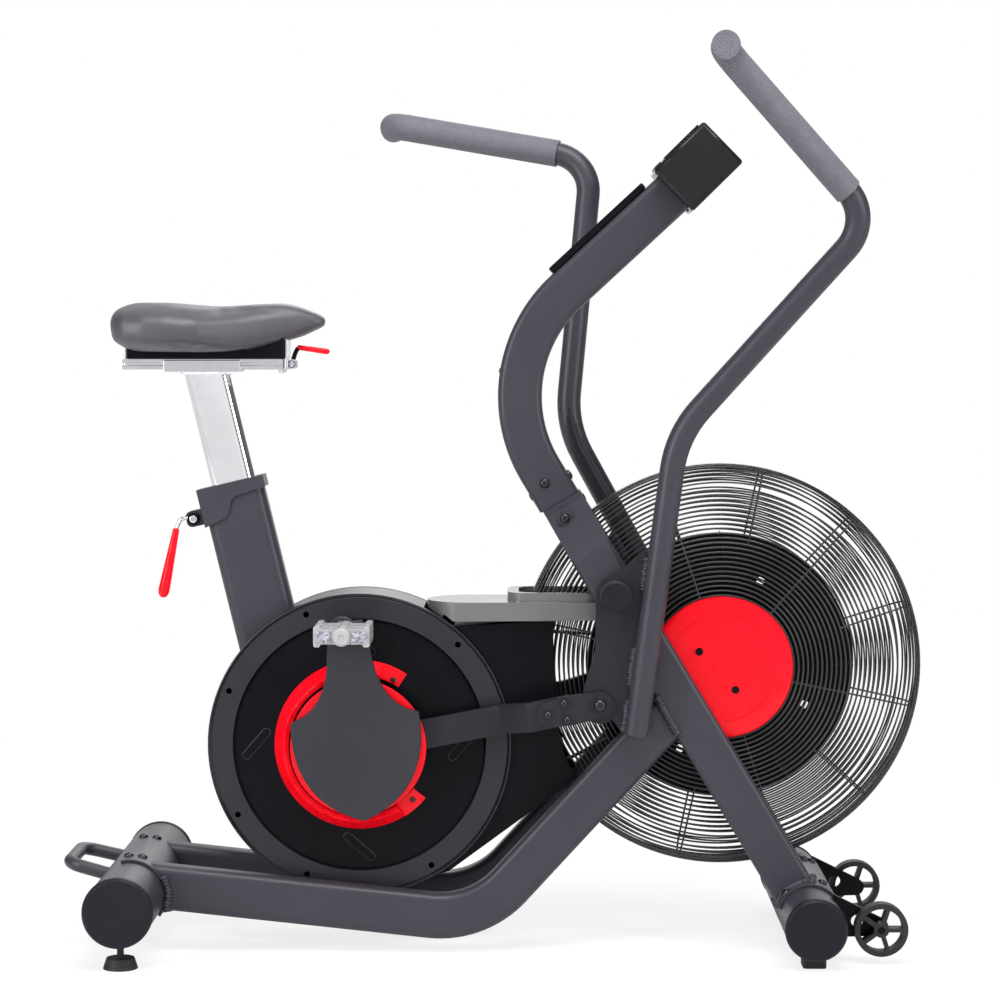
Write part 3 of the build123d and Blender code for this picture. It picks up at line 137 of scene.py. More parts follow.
powder_coat = powdered(
    "powder_coat", (0.023, 0.022, 0.030), (0.040, 0.038, 0.051), 0.32, Specular_IOR_Level=0.3
)
crease = radians(32)
body_of_node = {}
for body, nodes in frame["record"]["behaviour"]["bodies"].items():
    for node in nodes:
        body_of_node[node] = body


def piece_of(name, work, coat, body, replaced=(), edge=0.0008, segments=2):
    """A piece from a finished bmesh: smooth, with its edges broken by a small radius, riding on a body."""
    mesh = bpy.data.meshes.new(name)
    work.to_mesh(mesh)
    work.free()
    mesh.materials.append(coat)
    mesh.polygons.foreach_set("use_smooth", [True] * len(mesh.polygons))
    mesh.set_sharp_from_angle(angle=crease)
    piece = bpy.data.objects.new(name, mesh)
    bpy.context.collection.objects.link(piece)
    if edge:
        bevel = piece.modifiers.new("broken_edge", "BEVEL")
        bevel.width = edge
        bevel.segments = segments
        bevel.limit_method = "ANGLE"
        bevel.angle_limit = crease
        bevel.harden_normals = True
    if replaced:
        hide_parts(*replaced)
    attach(piece, body)
    return piece


def merged(node):
    """The CAD piece's mesh with its doubled points merged."""
    work = bmesh.new()
    work.from_mesh(frame["nodes"][node].data)
    bmesh.ops.remove_doubles(work, verts=work.verts, dist=0.00001)
    return work


def rounded(node, coat, edge=0.0008, segments=2, shift=None):
    """The CAD piece in a coat. Its flats are joined first if its edges are to be broken."""
    work = merged(node)
    if edge:
        bmesh.ops.dissolve_limit(work, angle_limit=radians(0.6), verts=work.verts, edges=work.edges)
    if shift:
        for vert in work.verts:
            vert.co = shift(vert.co)
    return piece_of(node + "_form", work, coat, body_of_node[node], (node,), edge, segments=segments)


for node in (
    "rear_stabilizer", "front_stabilizer", "side_rails",
    "rear_saddle_plate", "front_saddle_plate", "carry_handle",
):
    rounded(node, powder_coat)

# ---------------------------------------------------------------- fork, mast and seat tube
# A fork that straddles the fan, a curved mast bolted on its stub, the seat tube and the shell that the
# crank runs in. They are welded steel tube in the same coat, and the clamp collar is cast.
crown_flat = 0.0015
fork = rounded("front_fork", powder_coat)
for face in fork.data.polygons:
    face.use_smooth = face.area < crown_flat
for node in ("mast", "seat_tube", "bottom_bracket"):
    rounded(node, powder_coat)
rounded("seat_clamp", powder_coat, edge=0.0035, segments=4)

# ---------------------------------------------------------------- levers and rods
# Each lever is a bent round tube welded to a flat steel plate that swings on the fork, and a flat bar
# drives the plate from the crank. The tubes have the frame's coat, and the plates and bars a matt copy
# of it that is painted darker, as painted shade on their flat faces.
# painted shade: a darker, matt copy of the powder coat for the flat plates and bars
matt_painted_shade_coat = powdered("matt_painted_shade_coat", (0.011, 0.010, 0.014), (0.019, 0.018, 0.024), 0.40, Specular_IOR_Level=0.2)
plate_out = 0.1245
joints = {joint["name"]: joint for joint in frame["record"]["behaviour"]["joints"]}
crank_x = joints["crank_spin"]["pos_m"][0]


def reaching_on(elbow, tip, level, gain):
    """Beyond the elbow the lever is drawn on towards its tip. Places are forward of the crank, in metres."""
    def shift(place):
        share = (elbow - (place.x - crank_x)) / (elbow - tip) if place.z > level else 0.0
        return place + Vector(gain) * max(0.0, min(1.0, share))
    return shift


grip_shifts = {
    "right": reaching_on(0.720, 0.500, 1.106, (0.0068, 0, -0.0008)),
    "left": reaching_on(0.300, 0.010, 1.181, (0.0060, 0, 0.0006)),
}
for side in ("right", "left"):
    lever = rounded("handle_" + side, powder_coat, shift=grip_shifts[side])
    # the plate's faces and the rod take the darker coat, painted shade for their flat faces
    lever.data.materials.append(matt_painted_shade_coat)
    for face in lever.data.polygons:
        if abs(face.center.y) < plate_out:
            face.material_index = 1
    rounded("rod_" + side, matt_painted_shade_coat)

# ---------------------------------------------------------------- weld beads
# Runs of overlapping ripples where the tubes and plates are joined, left by hand welding and painted over
# with the frame's coat. They are short, and some joints have two or three.
MM = 0.001


def right(forward, up, out):
    """A place in mm from the crank axis, the floor and the middle plane, as a point in the frame."""
    return Vector((crank_x + forward * MM, -out * MM, up * MM))


def step(start, angle, length):
    """Side-view point reached by going a length in a direction."""
    return (start[0] + length * cos(radians(angle)), start[1] + length * sin(radians(angle)))


def applied(piece):
    """The piece with its modifiers' result as its own mesh."""
    bpy.context.view_layer.update()
    view = bpy.context.evaluated_depsgraph_get()
    mesh = bpy.data.meshes.new_from_object(piece.evaluated_get(view), depsgraph=view)
    piece.modifiers.clear()
    piece.data = mesh
    mesh.polygons.foreach_set("use_smooth", [True] * len(mesh.polygons))


def grown(name, build, sizes, coat, body, start, replaces=()):
    """A piece made by a node tree that starts from a mesh. Its sizes are the tree's named inputs."""
    kinds = {int: "NodeSocketInt", float: "NodeSocketFloat", tuple: "NodeSocketVector"}
    tree = bpy.data.node_groups.new(name, "GeometryNodeTree")
    for way in ("INPUT", "OUTPUT"):
        tree.interface.new_socket("Geometry", in_out=way, socket_type="NodeSocketGeometry")
    keys = {}
    for label, size in sizes.items():
        kind = kinds.get(type(size), "NodeSocketObject")
        keys[label] = tree.interface.new_socket(label, in_out="INPUT", socket_type=kind).identifier
    entry = tree.nodes.new("NodeGroupInput")
    given = {label: Value(tree, entry.outputs[label]) for label in ("Geometry", *sizes)}
    whole = build(given)
    whole = whole.add("GeometryNodeRealizeInstances", {"Geometry": whole})
    whole = whole.add("GeometryNodeSetMaterial", {"Geometry": whole, "Material": coat})
    leave = tree.nodes.new("NodeGroupOutput")
    tree.links.new(whole.socket, leave.inputs[0])
    piece = bpy.data.objects.new(name, start)
    bpy.context.collection.objects.link(piece)
    growth = piece.modifiers.new("growth", "NODES")
    growth.node_group = tree
    for label, size in sizes.items():
        growth[keys[label]] = size
    applied(piece)
    piece.data.name = name
    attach(piece, body)
    if replaces:
        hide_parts(*replaces)
    return piece


def runs_of(paths):
    """A mesh of open runs of edges, one for each list of points."""
    points = []
    edges = []
    for path in paths:
        edges += [(len(points) + i, len(points) + i + 1) for i in range(len(path) - 1)]
        points += [tuple(point) for point in path]
    mesh = bpy.data.meshes.new("runs")
    mesh.from_pydata(points, edges, [])
    return mesh


def weld_tree(given):
    """Flattened beads set close together along the runs, each a little tilted and of its own size."""
    line = given["Geometry"]
    line = line.add("GeometryNodeMeshToCurve", {"Mesh": line})
    pitch = given["Ripple Pitch"]
    spots = line.add("GeometryNodeCurveToPoints", {"Curve": line, "Length": pitch}, mode="LENGTH")
    lie = Value(spots.tree, spots.socket.node.outputs["Rotation"])
    radius = given["Bead Width"] * 0.5
    bead = line.add("GeometryNodeMeshUVSphere", {"Segments": 8, "Rings": 6, "Radius": radius})
    size = line.add(
        "FunctionNodeRandomValue",
        {"Min": (0.85, 0.85, 0.5), "Max": (1.2, 1.2, 0.8), "Seed": given["Seed"]},
        data_type="FLOAT_VECTOR",
    )
    return line.add(
        "GeometryNodeInstanceOnPoints", {"Points": spots, "Instance": bead, "Rotation": lie, "Scale": size}
    )


def bead_of(name, paths, body, coat=powder_coat, width=0.0135):
    """A weld along each path, riding on a body."""
    sizes = {"Bead Width": width, "Ripple Pitch": width * 0.32, "Seed": 4}
    return grown(name, weld_tree, sizes, coat, body, runs_of(paths))


def both_sides(path):
    """The same path on the right and, mirrored, on the left."""
    return [path, [Vector((point.x, -point.y, point.z)) for point in path]]


front_bar = (668, 60)
rear_bar = (-338, 86)
rail_face = 108.3
foot_reach = 48.5
foot_arc = [right(*step(front_bar, angle, foot_reach), rail_face) for angle in range(162, 78, -6)]
foot_ends = [right(*step(front_bar, angle, foot_reach), 72) for angle in (162, 80)]
fork_foot = [foot_ends[0], *foot_arc, foot_ends[1]]
rail_root = [right(443, 381, 108.2), right(455, 359, 108.4), right(472, 330, 108.2)]
rail_end = [right(*step(rear_bar, angle, 56), rail_face) for angle in (28, 20, 12, 4, -4, -12, -20)]
bead_of("frame_welds", both_sides(fork_foot) + both_sides(rail_root) + both_sides(rail_end), "frame")
pivot = (380.4, 533.5)
tube_taper = 4.6 / 444.5
plate_face = 124.5
for side, angle, mirror in (("right", -98.09, 1), ("left", -61.8, -1)):
    runs = []
    for first, last in ((-60, -16), (73, 126), (152, 193)):
        run = []
        for along in range(first, last + 1, 4):
            across = 58.7 - (197.2 - along) * tube_taper - 17.5
            run.append(right(*step(step(pivot, angle, along), angle + 90, across), mirror * plate_face))
        runs.append(run)
    bead_of("lever_welds_" + side, runs, "lever_" + side)

# ---------------------------------------------------------------- frame bolts
# Black zinc button heads with a hexagon socket. They hold the mast to the fork and the bars to their
# plates, and three hold each rod's end plate, with a larger one at its eye.


def clouded(name, lumps, dark, light, rough, grained=(), **constants):
    """A finish whose shade and roughness drift together in soft lumps, with a grain if one is given."""
    made, shader, place = finish(name, **constants)
    cloud = noise(place, *lumps)
    feed(shader, "Base Color", shades(place, cloud, dark, light))
    feed(shader, "Roughness", rough[0] + rough[1] * cloud)
    if grained:
        feed(shader, "Normal", grain(place, noise(place, *grained[:2]), *grained[2:]))
    return made


black_zinc = clouded(
    "black_zinc", (300, 2), (0.020, 0.020, 0.022), (0.060, 0.060, 0.064), (0.20, 0.14), Metallic=0.85
)


def skin(work, rings):
    """Faces between each ring of points and the next, with the first and the last ring closed."""
    around = len(rings[0])
    for low, high in zip(rings, rings[1:]):
        for j in range(around):
            work.faces.new((low[j], low[(j + 1) % around], high[(j + 1) % around], high[j]))
    work.faces.new(rings[-1])
    work.faces.new(list(reversed(rings[0])))
    bmesh.ops.recalc_face_normals(work, faces=work.faces)


def head_mesh(name, profile, socket_radius, socket_depth, around=24):
    """A turned head of radius 1 with a hexagon socket. The profile is its (radius, height) points."""
    work = bmesh.new()
    turns = [2 * pi * i / around for i in range(around)]
    rings = []
    for radius, height in profile:
        rings.append([work.verts.new((radius * cos(turn), radius * sin(turn), height)) for turn in turns])
    top = profile[-1][1]
    for height in (top, top - socket_depth):
        ring = []
        for turn in turns:
            inside = (turn + pi / 6) % (pi / 3) - pi / 6
            reach = socket_radius * cos(pi / 6) / cos(inside)
            ring.append(work.verts.new((reach * cos(turn), reach * sin(turn), height)))
        rings.append(ring)
    skin(work, rings)
    mesh = bpy.data.meshes.new(name)
    work.to_mesh(mesh)
    work.free()
    return mesh


def seats_of(node):
    """Where a node's heads sit: for each solid in it, its base's middle, the way it faces and its radius."""
    work = merged(node)
    left = set(work.faces)
    seats = []
    while left:
        group = [left.pop()]
        for face in group:
            for edge in face.edges:
                for other in edge.link_faces:
                    if other in left:
                        left.discard(other)
                        group.append(other)
        areas = {}
        for face in group:
            key = tuple(round(part, 2) + 0.0 for part in face.normal)
            areas.setdefault(key, []).append(face)
        base = max(areas.values(), key=lambda faces: sum(face.calc_area() for face in faces))
        area = sum(face.calc_area() for face in base)
        middle = sum((face.calc_center_median() * face.calc_area() for face in base), Vector()) / area
        seats.append((middle, -base[0].normal.copy(), (area / pi) ** 0.5))
    work.free()
    return seats


def seat_mesh(seats):
    """A cloud of points that carry the way each head faces and its radius."""
    mesh = bpy.data.meshes.new("seats")
    mesh.from_pydata([tuple(middle) for middle, facing, radius in seats], [], [])
    mesh.attributes.new("facing", "FLOAT_VECTOR", "POINT")
    mesh.attributes.new("size", "FLOAT", "POINT")
    for i, (middle, facing, radius) in enumerate(seats):
        mesh.attributes["facing"].data[i].vector = facing
        mesh.attributes["size"].data[i].value = radius
    return mesh


def heads_tree(given):
    """A head on each seat, turned to face out of it and scaled to its radius."""
    seats = given["Geometry"]
    head = seats.add("GeometryNodeObjectInfo", {"Object": given["Head"]}, output="Geometry")
    facing = seats.add("GeometryNodeInputNamedAttribute", {"Name": "facing"}, data_type="FLOAT_VECTOR")
    radius = seats.add("GeometryNodeInputNamedAttribute", {"Name": "size"}, data_type="FLOAT")
    lie = seats.add("FunctionNodeAlignRotationToVector", {"Vector": facing}, axis="Z")
    turns = {"Max": pi / 3, "Seed": given["Seed"]}
    spin = seats.add("FunctionNodeRandomValue", turns, output=1, data_type="FLOAT")
    spin = {"Rotation": lie, "Rotate By": seats.add("ShaderNodeCombineXYZ", {"Z": spin})}
    lie = seats.add("FunctionNodeRotateRotation", spin, rotation_space="LOCAL")
    return seats.add(
        "GeometryNodeInstanceOnPoints", {"Points": seats, "Instance": head, "Rotation": lie, "Scale": radius}
    )


def heads(name, seats, head, coat, body, replaces=(), seed=5):
    """Heads on their seats, turned at random. A head is its profile, its socket's radius and its depth."""
    mould = bpy.data.objects.new(name + "_head", head_mesh(name + "_head", *head))
    bpy.context.collection.objects.link(mould)
    piece = grown(name, heads_tree, {"Head": mould, "Seed": seed}, coat, body, seat_mesh(seats), replaces)
    bpy.data.objects.remove(mould)
    piece.data.set_sharp_from_angle(angle=radians(50))


button = (((1.0, 0.0), (1.0, 0.08), (0.94, 0.26), (0.82, 0.44), (0.62, 0.58), (0.50, 0.62)), 0.42, 0.34)
heads("bolt_heads", seats_of("frame_bolts"), button, black_zinc, "frame", ("frame_bolts",), seed=2)
front_way = Vector((cos(radians(31)), 0, sin(radians(31))))
seam_radius = 0.0075
seam_bolts = []
for out in (14, -14):
    seam_bolts.append((right(313.0, 706.7, out), front_way, seam_radius))
    seam_bolts.append((right(333.0, 672.9, out), front_way, seam_radius))
    seam_bolts.append((right(259.2, 674.2, out), -front_way, seam_radius))
seam_bolts.append((right(211.0, 863.3, 0), Vector((-1, 0, 0.16)), 0.0046))
heads("seam_bolt_heads", seam_bolts, button, black_zinc, "frame")
for side, eye, pin, mirror in (
    ("right", (357.81, 374.50), (-49.1, 295.5), 1), ("left", (456.29, 391.96), (49.1, 314.5), -1)
):
    rod_angle = degrees(atan2(eye[1] - pin[1], eye[0] - pin[0]))
    outward = Vector((0, -mirror, 0))
    rod_bolts = []
    for back, aside in ((77.5, 0), (51.5, 12.5), (51.5, -12.5)):
        spot = step(step(eye, rod_angle + 180, back), rod_angle + 90, aside)
        rod_bolts.append((right(*spot, mirror * 134.9), outward, 0.0056))
    rod_bolts.append((right(*eye, mirror * 138.5), outward, 0.0092))
    heads("rod_bolt_heads_" + side, rod_bolts, button, black_zinc, body_of_node["rod_" + side])

# ---------------------------------------------------------------- end caps and pivot caps
# Moulded black plugs pressed into the ends of the stabilizers, and caps over the levers' pivot pins.
# The plastic is dull, with rounded edges.
cap_plastic = clouded(
    "cap_plastic", (14, 3), (0.006, 0.0055, 0.009), (0.012, 0.011, 0.017), (0.40, 0.08),
    grained=(1500, 1, 0.15, 0.0003), Specular_IOR_Level=0.15,
)
for node in ("end_caps", "lever_pivots"):
    rounded(node, cap_plastic, edge=0.0015)

# ---------------------------------------------------------------- feet and transport wheels
# Rubber feet under both stabilizers, the rear ones on screws that level the bike. Two spoked wheels with
# ribbed tyres turn on black moulded brackets, which are bolted to the front stabilizer.
rubber = clouded(
    "rubber", (30, 3), (0.010, 0.010, 0.010), (0.020, 0.020, 0.020), (0.55, 0.12),
    grained=(700, 2, 0.3, 0.0005), Specular_IOR_Level=0.3,
)
for node in ("front_feet", "levelling_foot_right", "levelling_foot_left", "wheel_right", "wheel_left"):
    rounded(node, rubber)
black_plastic = clouded(
    "black_plastic", (14, 3), (0.0030, 0.0028, 0.0040), (0.0060, 0.0056, 0.0078), (0.24, 0.08),
    grained=(1800, 1, 0.12, 0.0003), Specular_IOR_Level=0.06,
)
rounded("wheel_brackets", black_plastic)

# ---------------------------------------------------------------- drive
# A bright steel spindle with its arms and the pedals' spindles, screwed together. A plastic pulley on the
# spindle drives a rubber belt to the fan.
bare_steel = clouded(
    "bare_steel", (60, 3), (0.42, 0.42, 0.43), (0.55, 0.55, 0.56), (0.26, 0.14), Metallic=1.0
)
for node in ("crank_spindle", "crank_arms", "pedal_spindles"):
    rounded(node, bare_steel)
rounded("drive_pulley", black_plastic)
rounded("drive_belt", rubber)

# ---------------------------------------------------------------- belt casing
# A black moulded shell round the belt, from the crank to the fan, screwed to the frame. Its top edge runs
# up inside the silver cover.
casing_top = 0.4826
edge_depth = 0.004
cover_start = 0.16
cover_lift = 0.009


def raised(place):
    """The casing's top brought up against the cover."""
    in_cover = place.z > casing_top - edge_depth and place.x - crank_x > cover_start
    return place + Vector((0, 0, cover_lift)) if in_cover else place


rounded("belt_casing", black_plastic, edge=0.002, segments=3, shift=raised)

# ---------------------------------------------------------------- shrouds
# Two round moulded dishes over the crank, one each side, held by screws round the rim. The recessed part is
# near black, and the rim, with a bead at its edge, and the lips of the four slots are a greyer plastic.
rim_plastic = clouded(
    "rim_plastic", (14, 3), (0.013, 0.0125, 0.016), (0.020, 0.019, 0.024), (0.34, 0.08),
    grained=(1300, 1, 0.25, 0.0004), Specular_IOR_Level=0.25,
)
crank_axis = (0, 305)
recess_edge = 0.1905
rim_radius = 225.6
rim_out = 61.2
slot_out = 57.0
slot_half = 6.0


def circle(work, place, radius, aside, across, around):
    """A ring of points about a place."""
    turns = [2 * pi * j / around for j in range(around)]
    return [work.verts.new(place + radius * (cos(turn) * aside + sin(turn) * across)) for turn in turns]


def lofted(name, stations, coat, body, around=20, replaced=()):
    """A round bar through its stations, each a place and a radius, closed at both ends."""
    work = bmesh.new()
    places = [place for place, radius in stations]
    aside = (places[1] - places[0]).orthogonal()
    rings = []
    for i, (place, radius) in enumerate(stations):
        along = (places[min(i + 1, len(places) - 1)] - places[max(i - 1, 0)]).normalized()
        aside = (aside - along * aside.dot(along)).normalized()
        rings.append(circle(work, place, radius, aside, along.cross(aside), around))
    skin(work, rings)
    return piece_of(name, work, coat, body, replaced, edge=0)


for side, mirror in (("right", 1), ("left", -1)):
    shroud = rounded("shroud_" + side, black_plastic, edge=0)
    shroud.data.materials.append(rim_plastic)
    for face in shroud.data.polygons:
        face.use_smooth = abs(face.normal.y) < 0.999
        if hypot(face.center.x - crank_x, face.center.z - crank_axis[1] * MM) > recess_edge:
            face.material_index = 1
    shroud_body = body_of_node["shroud_" + side]
    rim = [right(*step(crank_axis, angle, rim_radius), mirror * rim_out) for angle in range(0, 361, 3)]
    stations = [(place, 0.0014) for place in rim]
    lofted("shroud_bead_" + side, stations, rim_plastic, shroud_body, around=8)
    for quarter in range(4):
        turn = quarter * pi / 2
        ends = []
        for forward, up in ((-139.0, 18.0), (-169.5, -17.0)):
            end_up = crank_axis[1] + forward * sin(turn) + up * cos(turn)
            ends.append((forward * cos(turn) - up * sin(turn), end_up))
        lie = degrees(atan2(ends[1][1] - ends[0][1], ends[1][0] - ends[0][0]))
        lip = [step(ends[0], lie + angle, slot_half) for angle in range(90, 271, 15)]
        lip += [step(ends[1], lie + angle, slot_half) for angle in range(-90, 91, 15)]
        lip.append(lip[0])
        stations = [(right(*spot, mirror * slot_out), 0.0008) for spot in lip]
        lofted(f"slot_lip_{side}_{quarter}", stations, rim_plastic, shroud_body, around=8)
pan = (((1.0, 0.0), (1.0, 0.25), (0.86, 0.45), (0.60, 0.50)), 0.42, 0.30)
screw_body = body_of_node["shroud_screws"]
heads("ring_screw_heads", seats_of("shroud_screws"), pan, black_zinc, screw_body, ("shroud_screws",), seed=2)

# ---------------------------------------------------------------- top cover
# A silver moulded lid on the casing, with a collar round the fan cage and a rounded tip towards the rider.
# It clips on, so its lower edge stands a little clear of the casing.
silver_plastic = clouded(
    "silver_plastic", (18, 3), (0.095, 0.095, 0.100), (0.125, 0.125, 0.131), (0.22, 0.08),
    Specular_IOR_Level=0.6,
)
cover_foot = 0.483
foot_depth = 0.012
tip_start = 0.215
tip_length = 0.115


def lifted(place):
    """The cover's lower edge brought up, a little less under its tip."""
    if place.z > cover_foot + foot_depth:
        return place
    tip = max(0.0, min(1.0, (tip_start - (place.x - crank_x)) / tip_length))
    return place + Vector((0, 0, cover_lift - 0.003 * tip))


rounded("top_cover", silver_plastic, edge=0.0016, segments=3, shift=lifted)

# ---------------------------------------------------------------- guard rings and crank discs
# Red glossy mouldings: a C-shaped guard ring screwed to each shroud, and a round disc that turns with the
# crank inside it.
red_plastic = clouded(
    "red_plastic", (12, 2), (0.84, 0.001, 0.008), (0.92, 0.003, 0.014), (0.24, 0.08),
    Specular_IOR_Level=0.15, Coat_Weight=0.12, Coat_Roughness=0.12,
)
for node in ("guard_rings", "crank_discs"):
    rounded(node, red_plastic)

# ---------------------------------------------------------------- crank covers
# A charcoal teardrop plate over each crank arm, with a round boss at the arm's end and a small bright screw
# in it. The plates are moulded with a matt grain, and turn with the crank.
dark_plate = clouded(
    "dark_plate", (12, 3), (0.017, 0.016, 0.022), (0.024, 0.023, 0.031), (0.50, 0.08),
    grained=(900, 2, 0.4, 0.0005), Specular_IOR_Level=0.3,
)
cover_tip = (0, -108)
shoulder = (95.5, 47.0)
neck = (32.2, 145.0)
cover_end = (24.0, 190.0)
boss_lean = 2.4


def bent(first, pull, last, steps=12):
    """Points along a curve that is pulled towards one place, without its last."""
    points = []
    for i in range(steps):
        share = i / steps
        ends = ((first, (1 - share) ** 2), (pull, 2 * share * (1 - share)), (last, share ** 2))
        points.append(tuple(sum(part * end[k] for end, part in ends) for k in (0, 1)))
    return points


def prism(name, outline, near, far, coat, body, replaced=(), edge=0.001, segments=2):
    """A slab with a side-view outline in mm, between two distances out to the right."""
    work = bmesh.new()
    sides = [[work.verts.new(right(forward, up, out)) for forward, up in outline] for out in (near, far)]
    work.faces.new(sides[0])
    work.faces.new(list(reversed(sides[1])))
    for i in range(len(outline)):
        after = (i + 1) % len(outline)
        work.faces.new((sides[0][i], sides[0][after], sides[1][after], sides[1][i]))
    bmesh.ops.recalc_face_normals(work, faces=work.faces)
    return piece_of(name, work, coat, body, replaced, edge, segments=segments)


def turned(name, stations, coat, body, replaced=(), around=96):
    """A turned piece: circles of the stations' radii about a straight axis, closed by its first and last."""
    work = bmesh.new()
    axis = (stations[-1][0] - stations[0][0]).normalized()
    aside = axis.orthogonal().normalized()
    across = axis.cross(aside)
    rings = [circle(work, place, radius, aside, across, around) for place, radius in stations]
    skin(work, rings)
    return piece_of(name, work, coat, body, replaced, edge=0)


half_outline = bent(cover_tip, (105, -72), shoulder) + bent(shoulder, (38, 60), neck) + [neck, cover_end]
whole_outline = half_outline + [(-across, along) for across, along in reversed(half_outline[1:])]
boss_profile = ((91, 20), (92, 21.5), (110.5, 21.5), (111.5, 20.5))
boss_head = (((1.0, 0.0), (1.0, 0.3), (0.9, 0.4)), 0.55, 0.3)
cover_body = body_of_node["crank_covers"]
for side, arm_angle, mirror in (("right", 95.1, 1), ("left", 275.1, -1)):
    outline = []
    for across, along in whole_outline:
        outline.append(step(step(crank_axis, arm_angle, along), arm_angle - 90, across))
    replaced = ("crank_covers",) if side == "right" else ()
    near, far = mirror * 93, mirror * 109
    prism("crank_cover_" + side, outline, near, far, dark_plate, cover_body, replaced, 0.0022, 3)
    boss_middle = step(crank_axis, arm_angle + boss_lean, 176)
    boss = [(right(*boss_middle, mirror * out), radius * MM) for out, radius in boss_profile]
    turned("crank_boss_" + side, boss, dark_plate, cover_body, around=48)
    screw_spot = right(*step(crank_axis, arm_angle + boss_lean, 188.5), mirror * 111.5)
    boss_screw = (screw_spot, Vector((0, -mirror, 0)), 0.0042)
    heads("boss_screw_" + side, [boss_screw], boss_head, silver_plastic, cover_body)

# ---------------------------------------------------------------- pedals
# Clear moulded pedals with a white reflector in each edge, front and back of the spindle, and a round cap
# over the spindle's end.
clear_plastic = clouded(
    "clear_plastic", (50, 2), (0.52, 0.525, 0.535), (0.64, 0.645, 0.655), (0.16, 0.08),
    IOR=1.45, Transmission_Weight=0.45, Specular_IOR_Level=0.4,
)
reflector, shader, place = finish("reflector", Specular_IOR_Level=0.6)
cells = place.add("ShaderNodeTexVoronoi", {"Vector": place, "Scale": 330.0}, output="Color")
grey = place.add("ShaderNodeSeparateXYZ", {0: cells}, output="X")
feed(shader, "Base Color", shades(place, grey, (0.06, 0.06, 0.09), (0.42, 0.42, 0.48)))
feed(shader, "Roughness", 0.10 + 0.20 * grey)
hub_profile = ((11.5, -1.0), (11.5, 0.8), (10.5, 1.6), (4.6, 1.8), (4.2, 0.6))
plate_half = 8
for side, mirror in (("right", 1), ("left", -1)):
    node = "pedal_" + side
    pedal_body = body_of_node[node]
    rounded(node, clear_plastic, edge=0.0012)
    low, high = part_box(node)
    face_out = high[1] / MM if mirror < 0 else -low[1] / MM
    centre_x = ((low[0] + high[0]) / 2 - crank_x) / MM
    centre_z = (low[2] + high[2]) / 2 / MM
    low_edge, high_edge = centre_z - plate_half, centre_z + plate_half
    for lean, end in ((1, "front"), (-1, "rear")):
        inner, outer = centre_x + lean * 15, centre_x + lean * 35
        plate = ((inner, low_edge), (outer, low_edge), (outer, high_edge), (inner, high_edge))
        near, far = mirror * (face_out - 1.0), mirror * (face_out + 1.2)
        prism(f"reflector_{side}_{end}", plate, near, far, reflector, pedal_body, edge=0.0006)
    hub = [
        (right(centre_x, centre_z, mirror * (face_out + out)), radius * MM) for radius, out in hub_profile
    ]
    turned("pedal_cap_" + side, hub, clear_plastic, pedal_body, around=32)

# ---------------------------------------------------------------- fan cage
# Two dished grilles of round steel wire, rings on radial spokes, dipped in black. A flat hoop joins their
# rims. The left grille's rounded rim is open where the belt runs in.
cage_wire = clouded(
    "cage_wire", (120, 2), (0.006, 0.006, 0.007), (0.014, 0.014, 0.016), (0.24, 0.12), Specular_IOR_Level=0.6
)
low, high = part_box("cage_rim")
cage_middle = (Vector(low) + Vector(high)) / 2
wire_radius = 0.0015
cage_radius = 0.302
cap_radius = 0.106
hub_face = 0.061
rim_face = 0.045
rim_round = 0.034
rim_half = 0.012
knee = cage_radius - rim_round
face_slope = (hub_face - rim_face) / (knee - cap_radius)
ring_pitch = 0.0071
spoke_pairs = 6
rim_rings = 6


def joined(parts):
    """Several geometries as one."""
    whole = parts[0].add("GeometryNodeJoinGeometry")
    for part in parts:
        whole.tree.links.new(part.socket, whole.socket.node.inputs[0])
    return whole


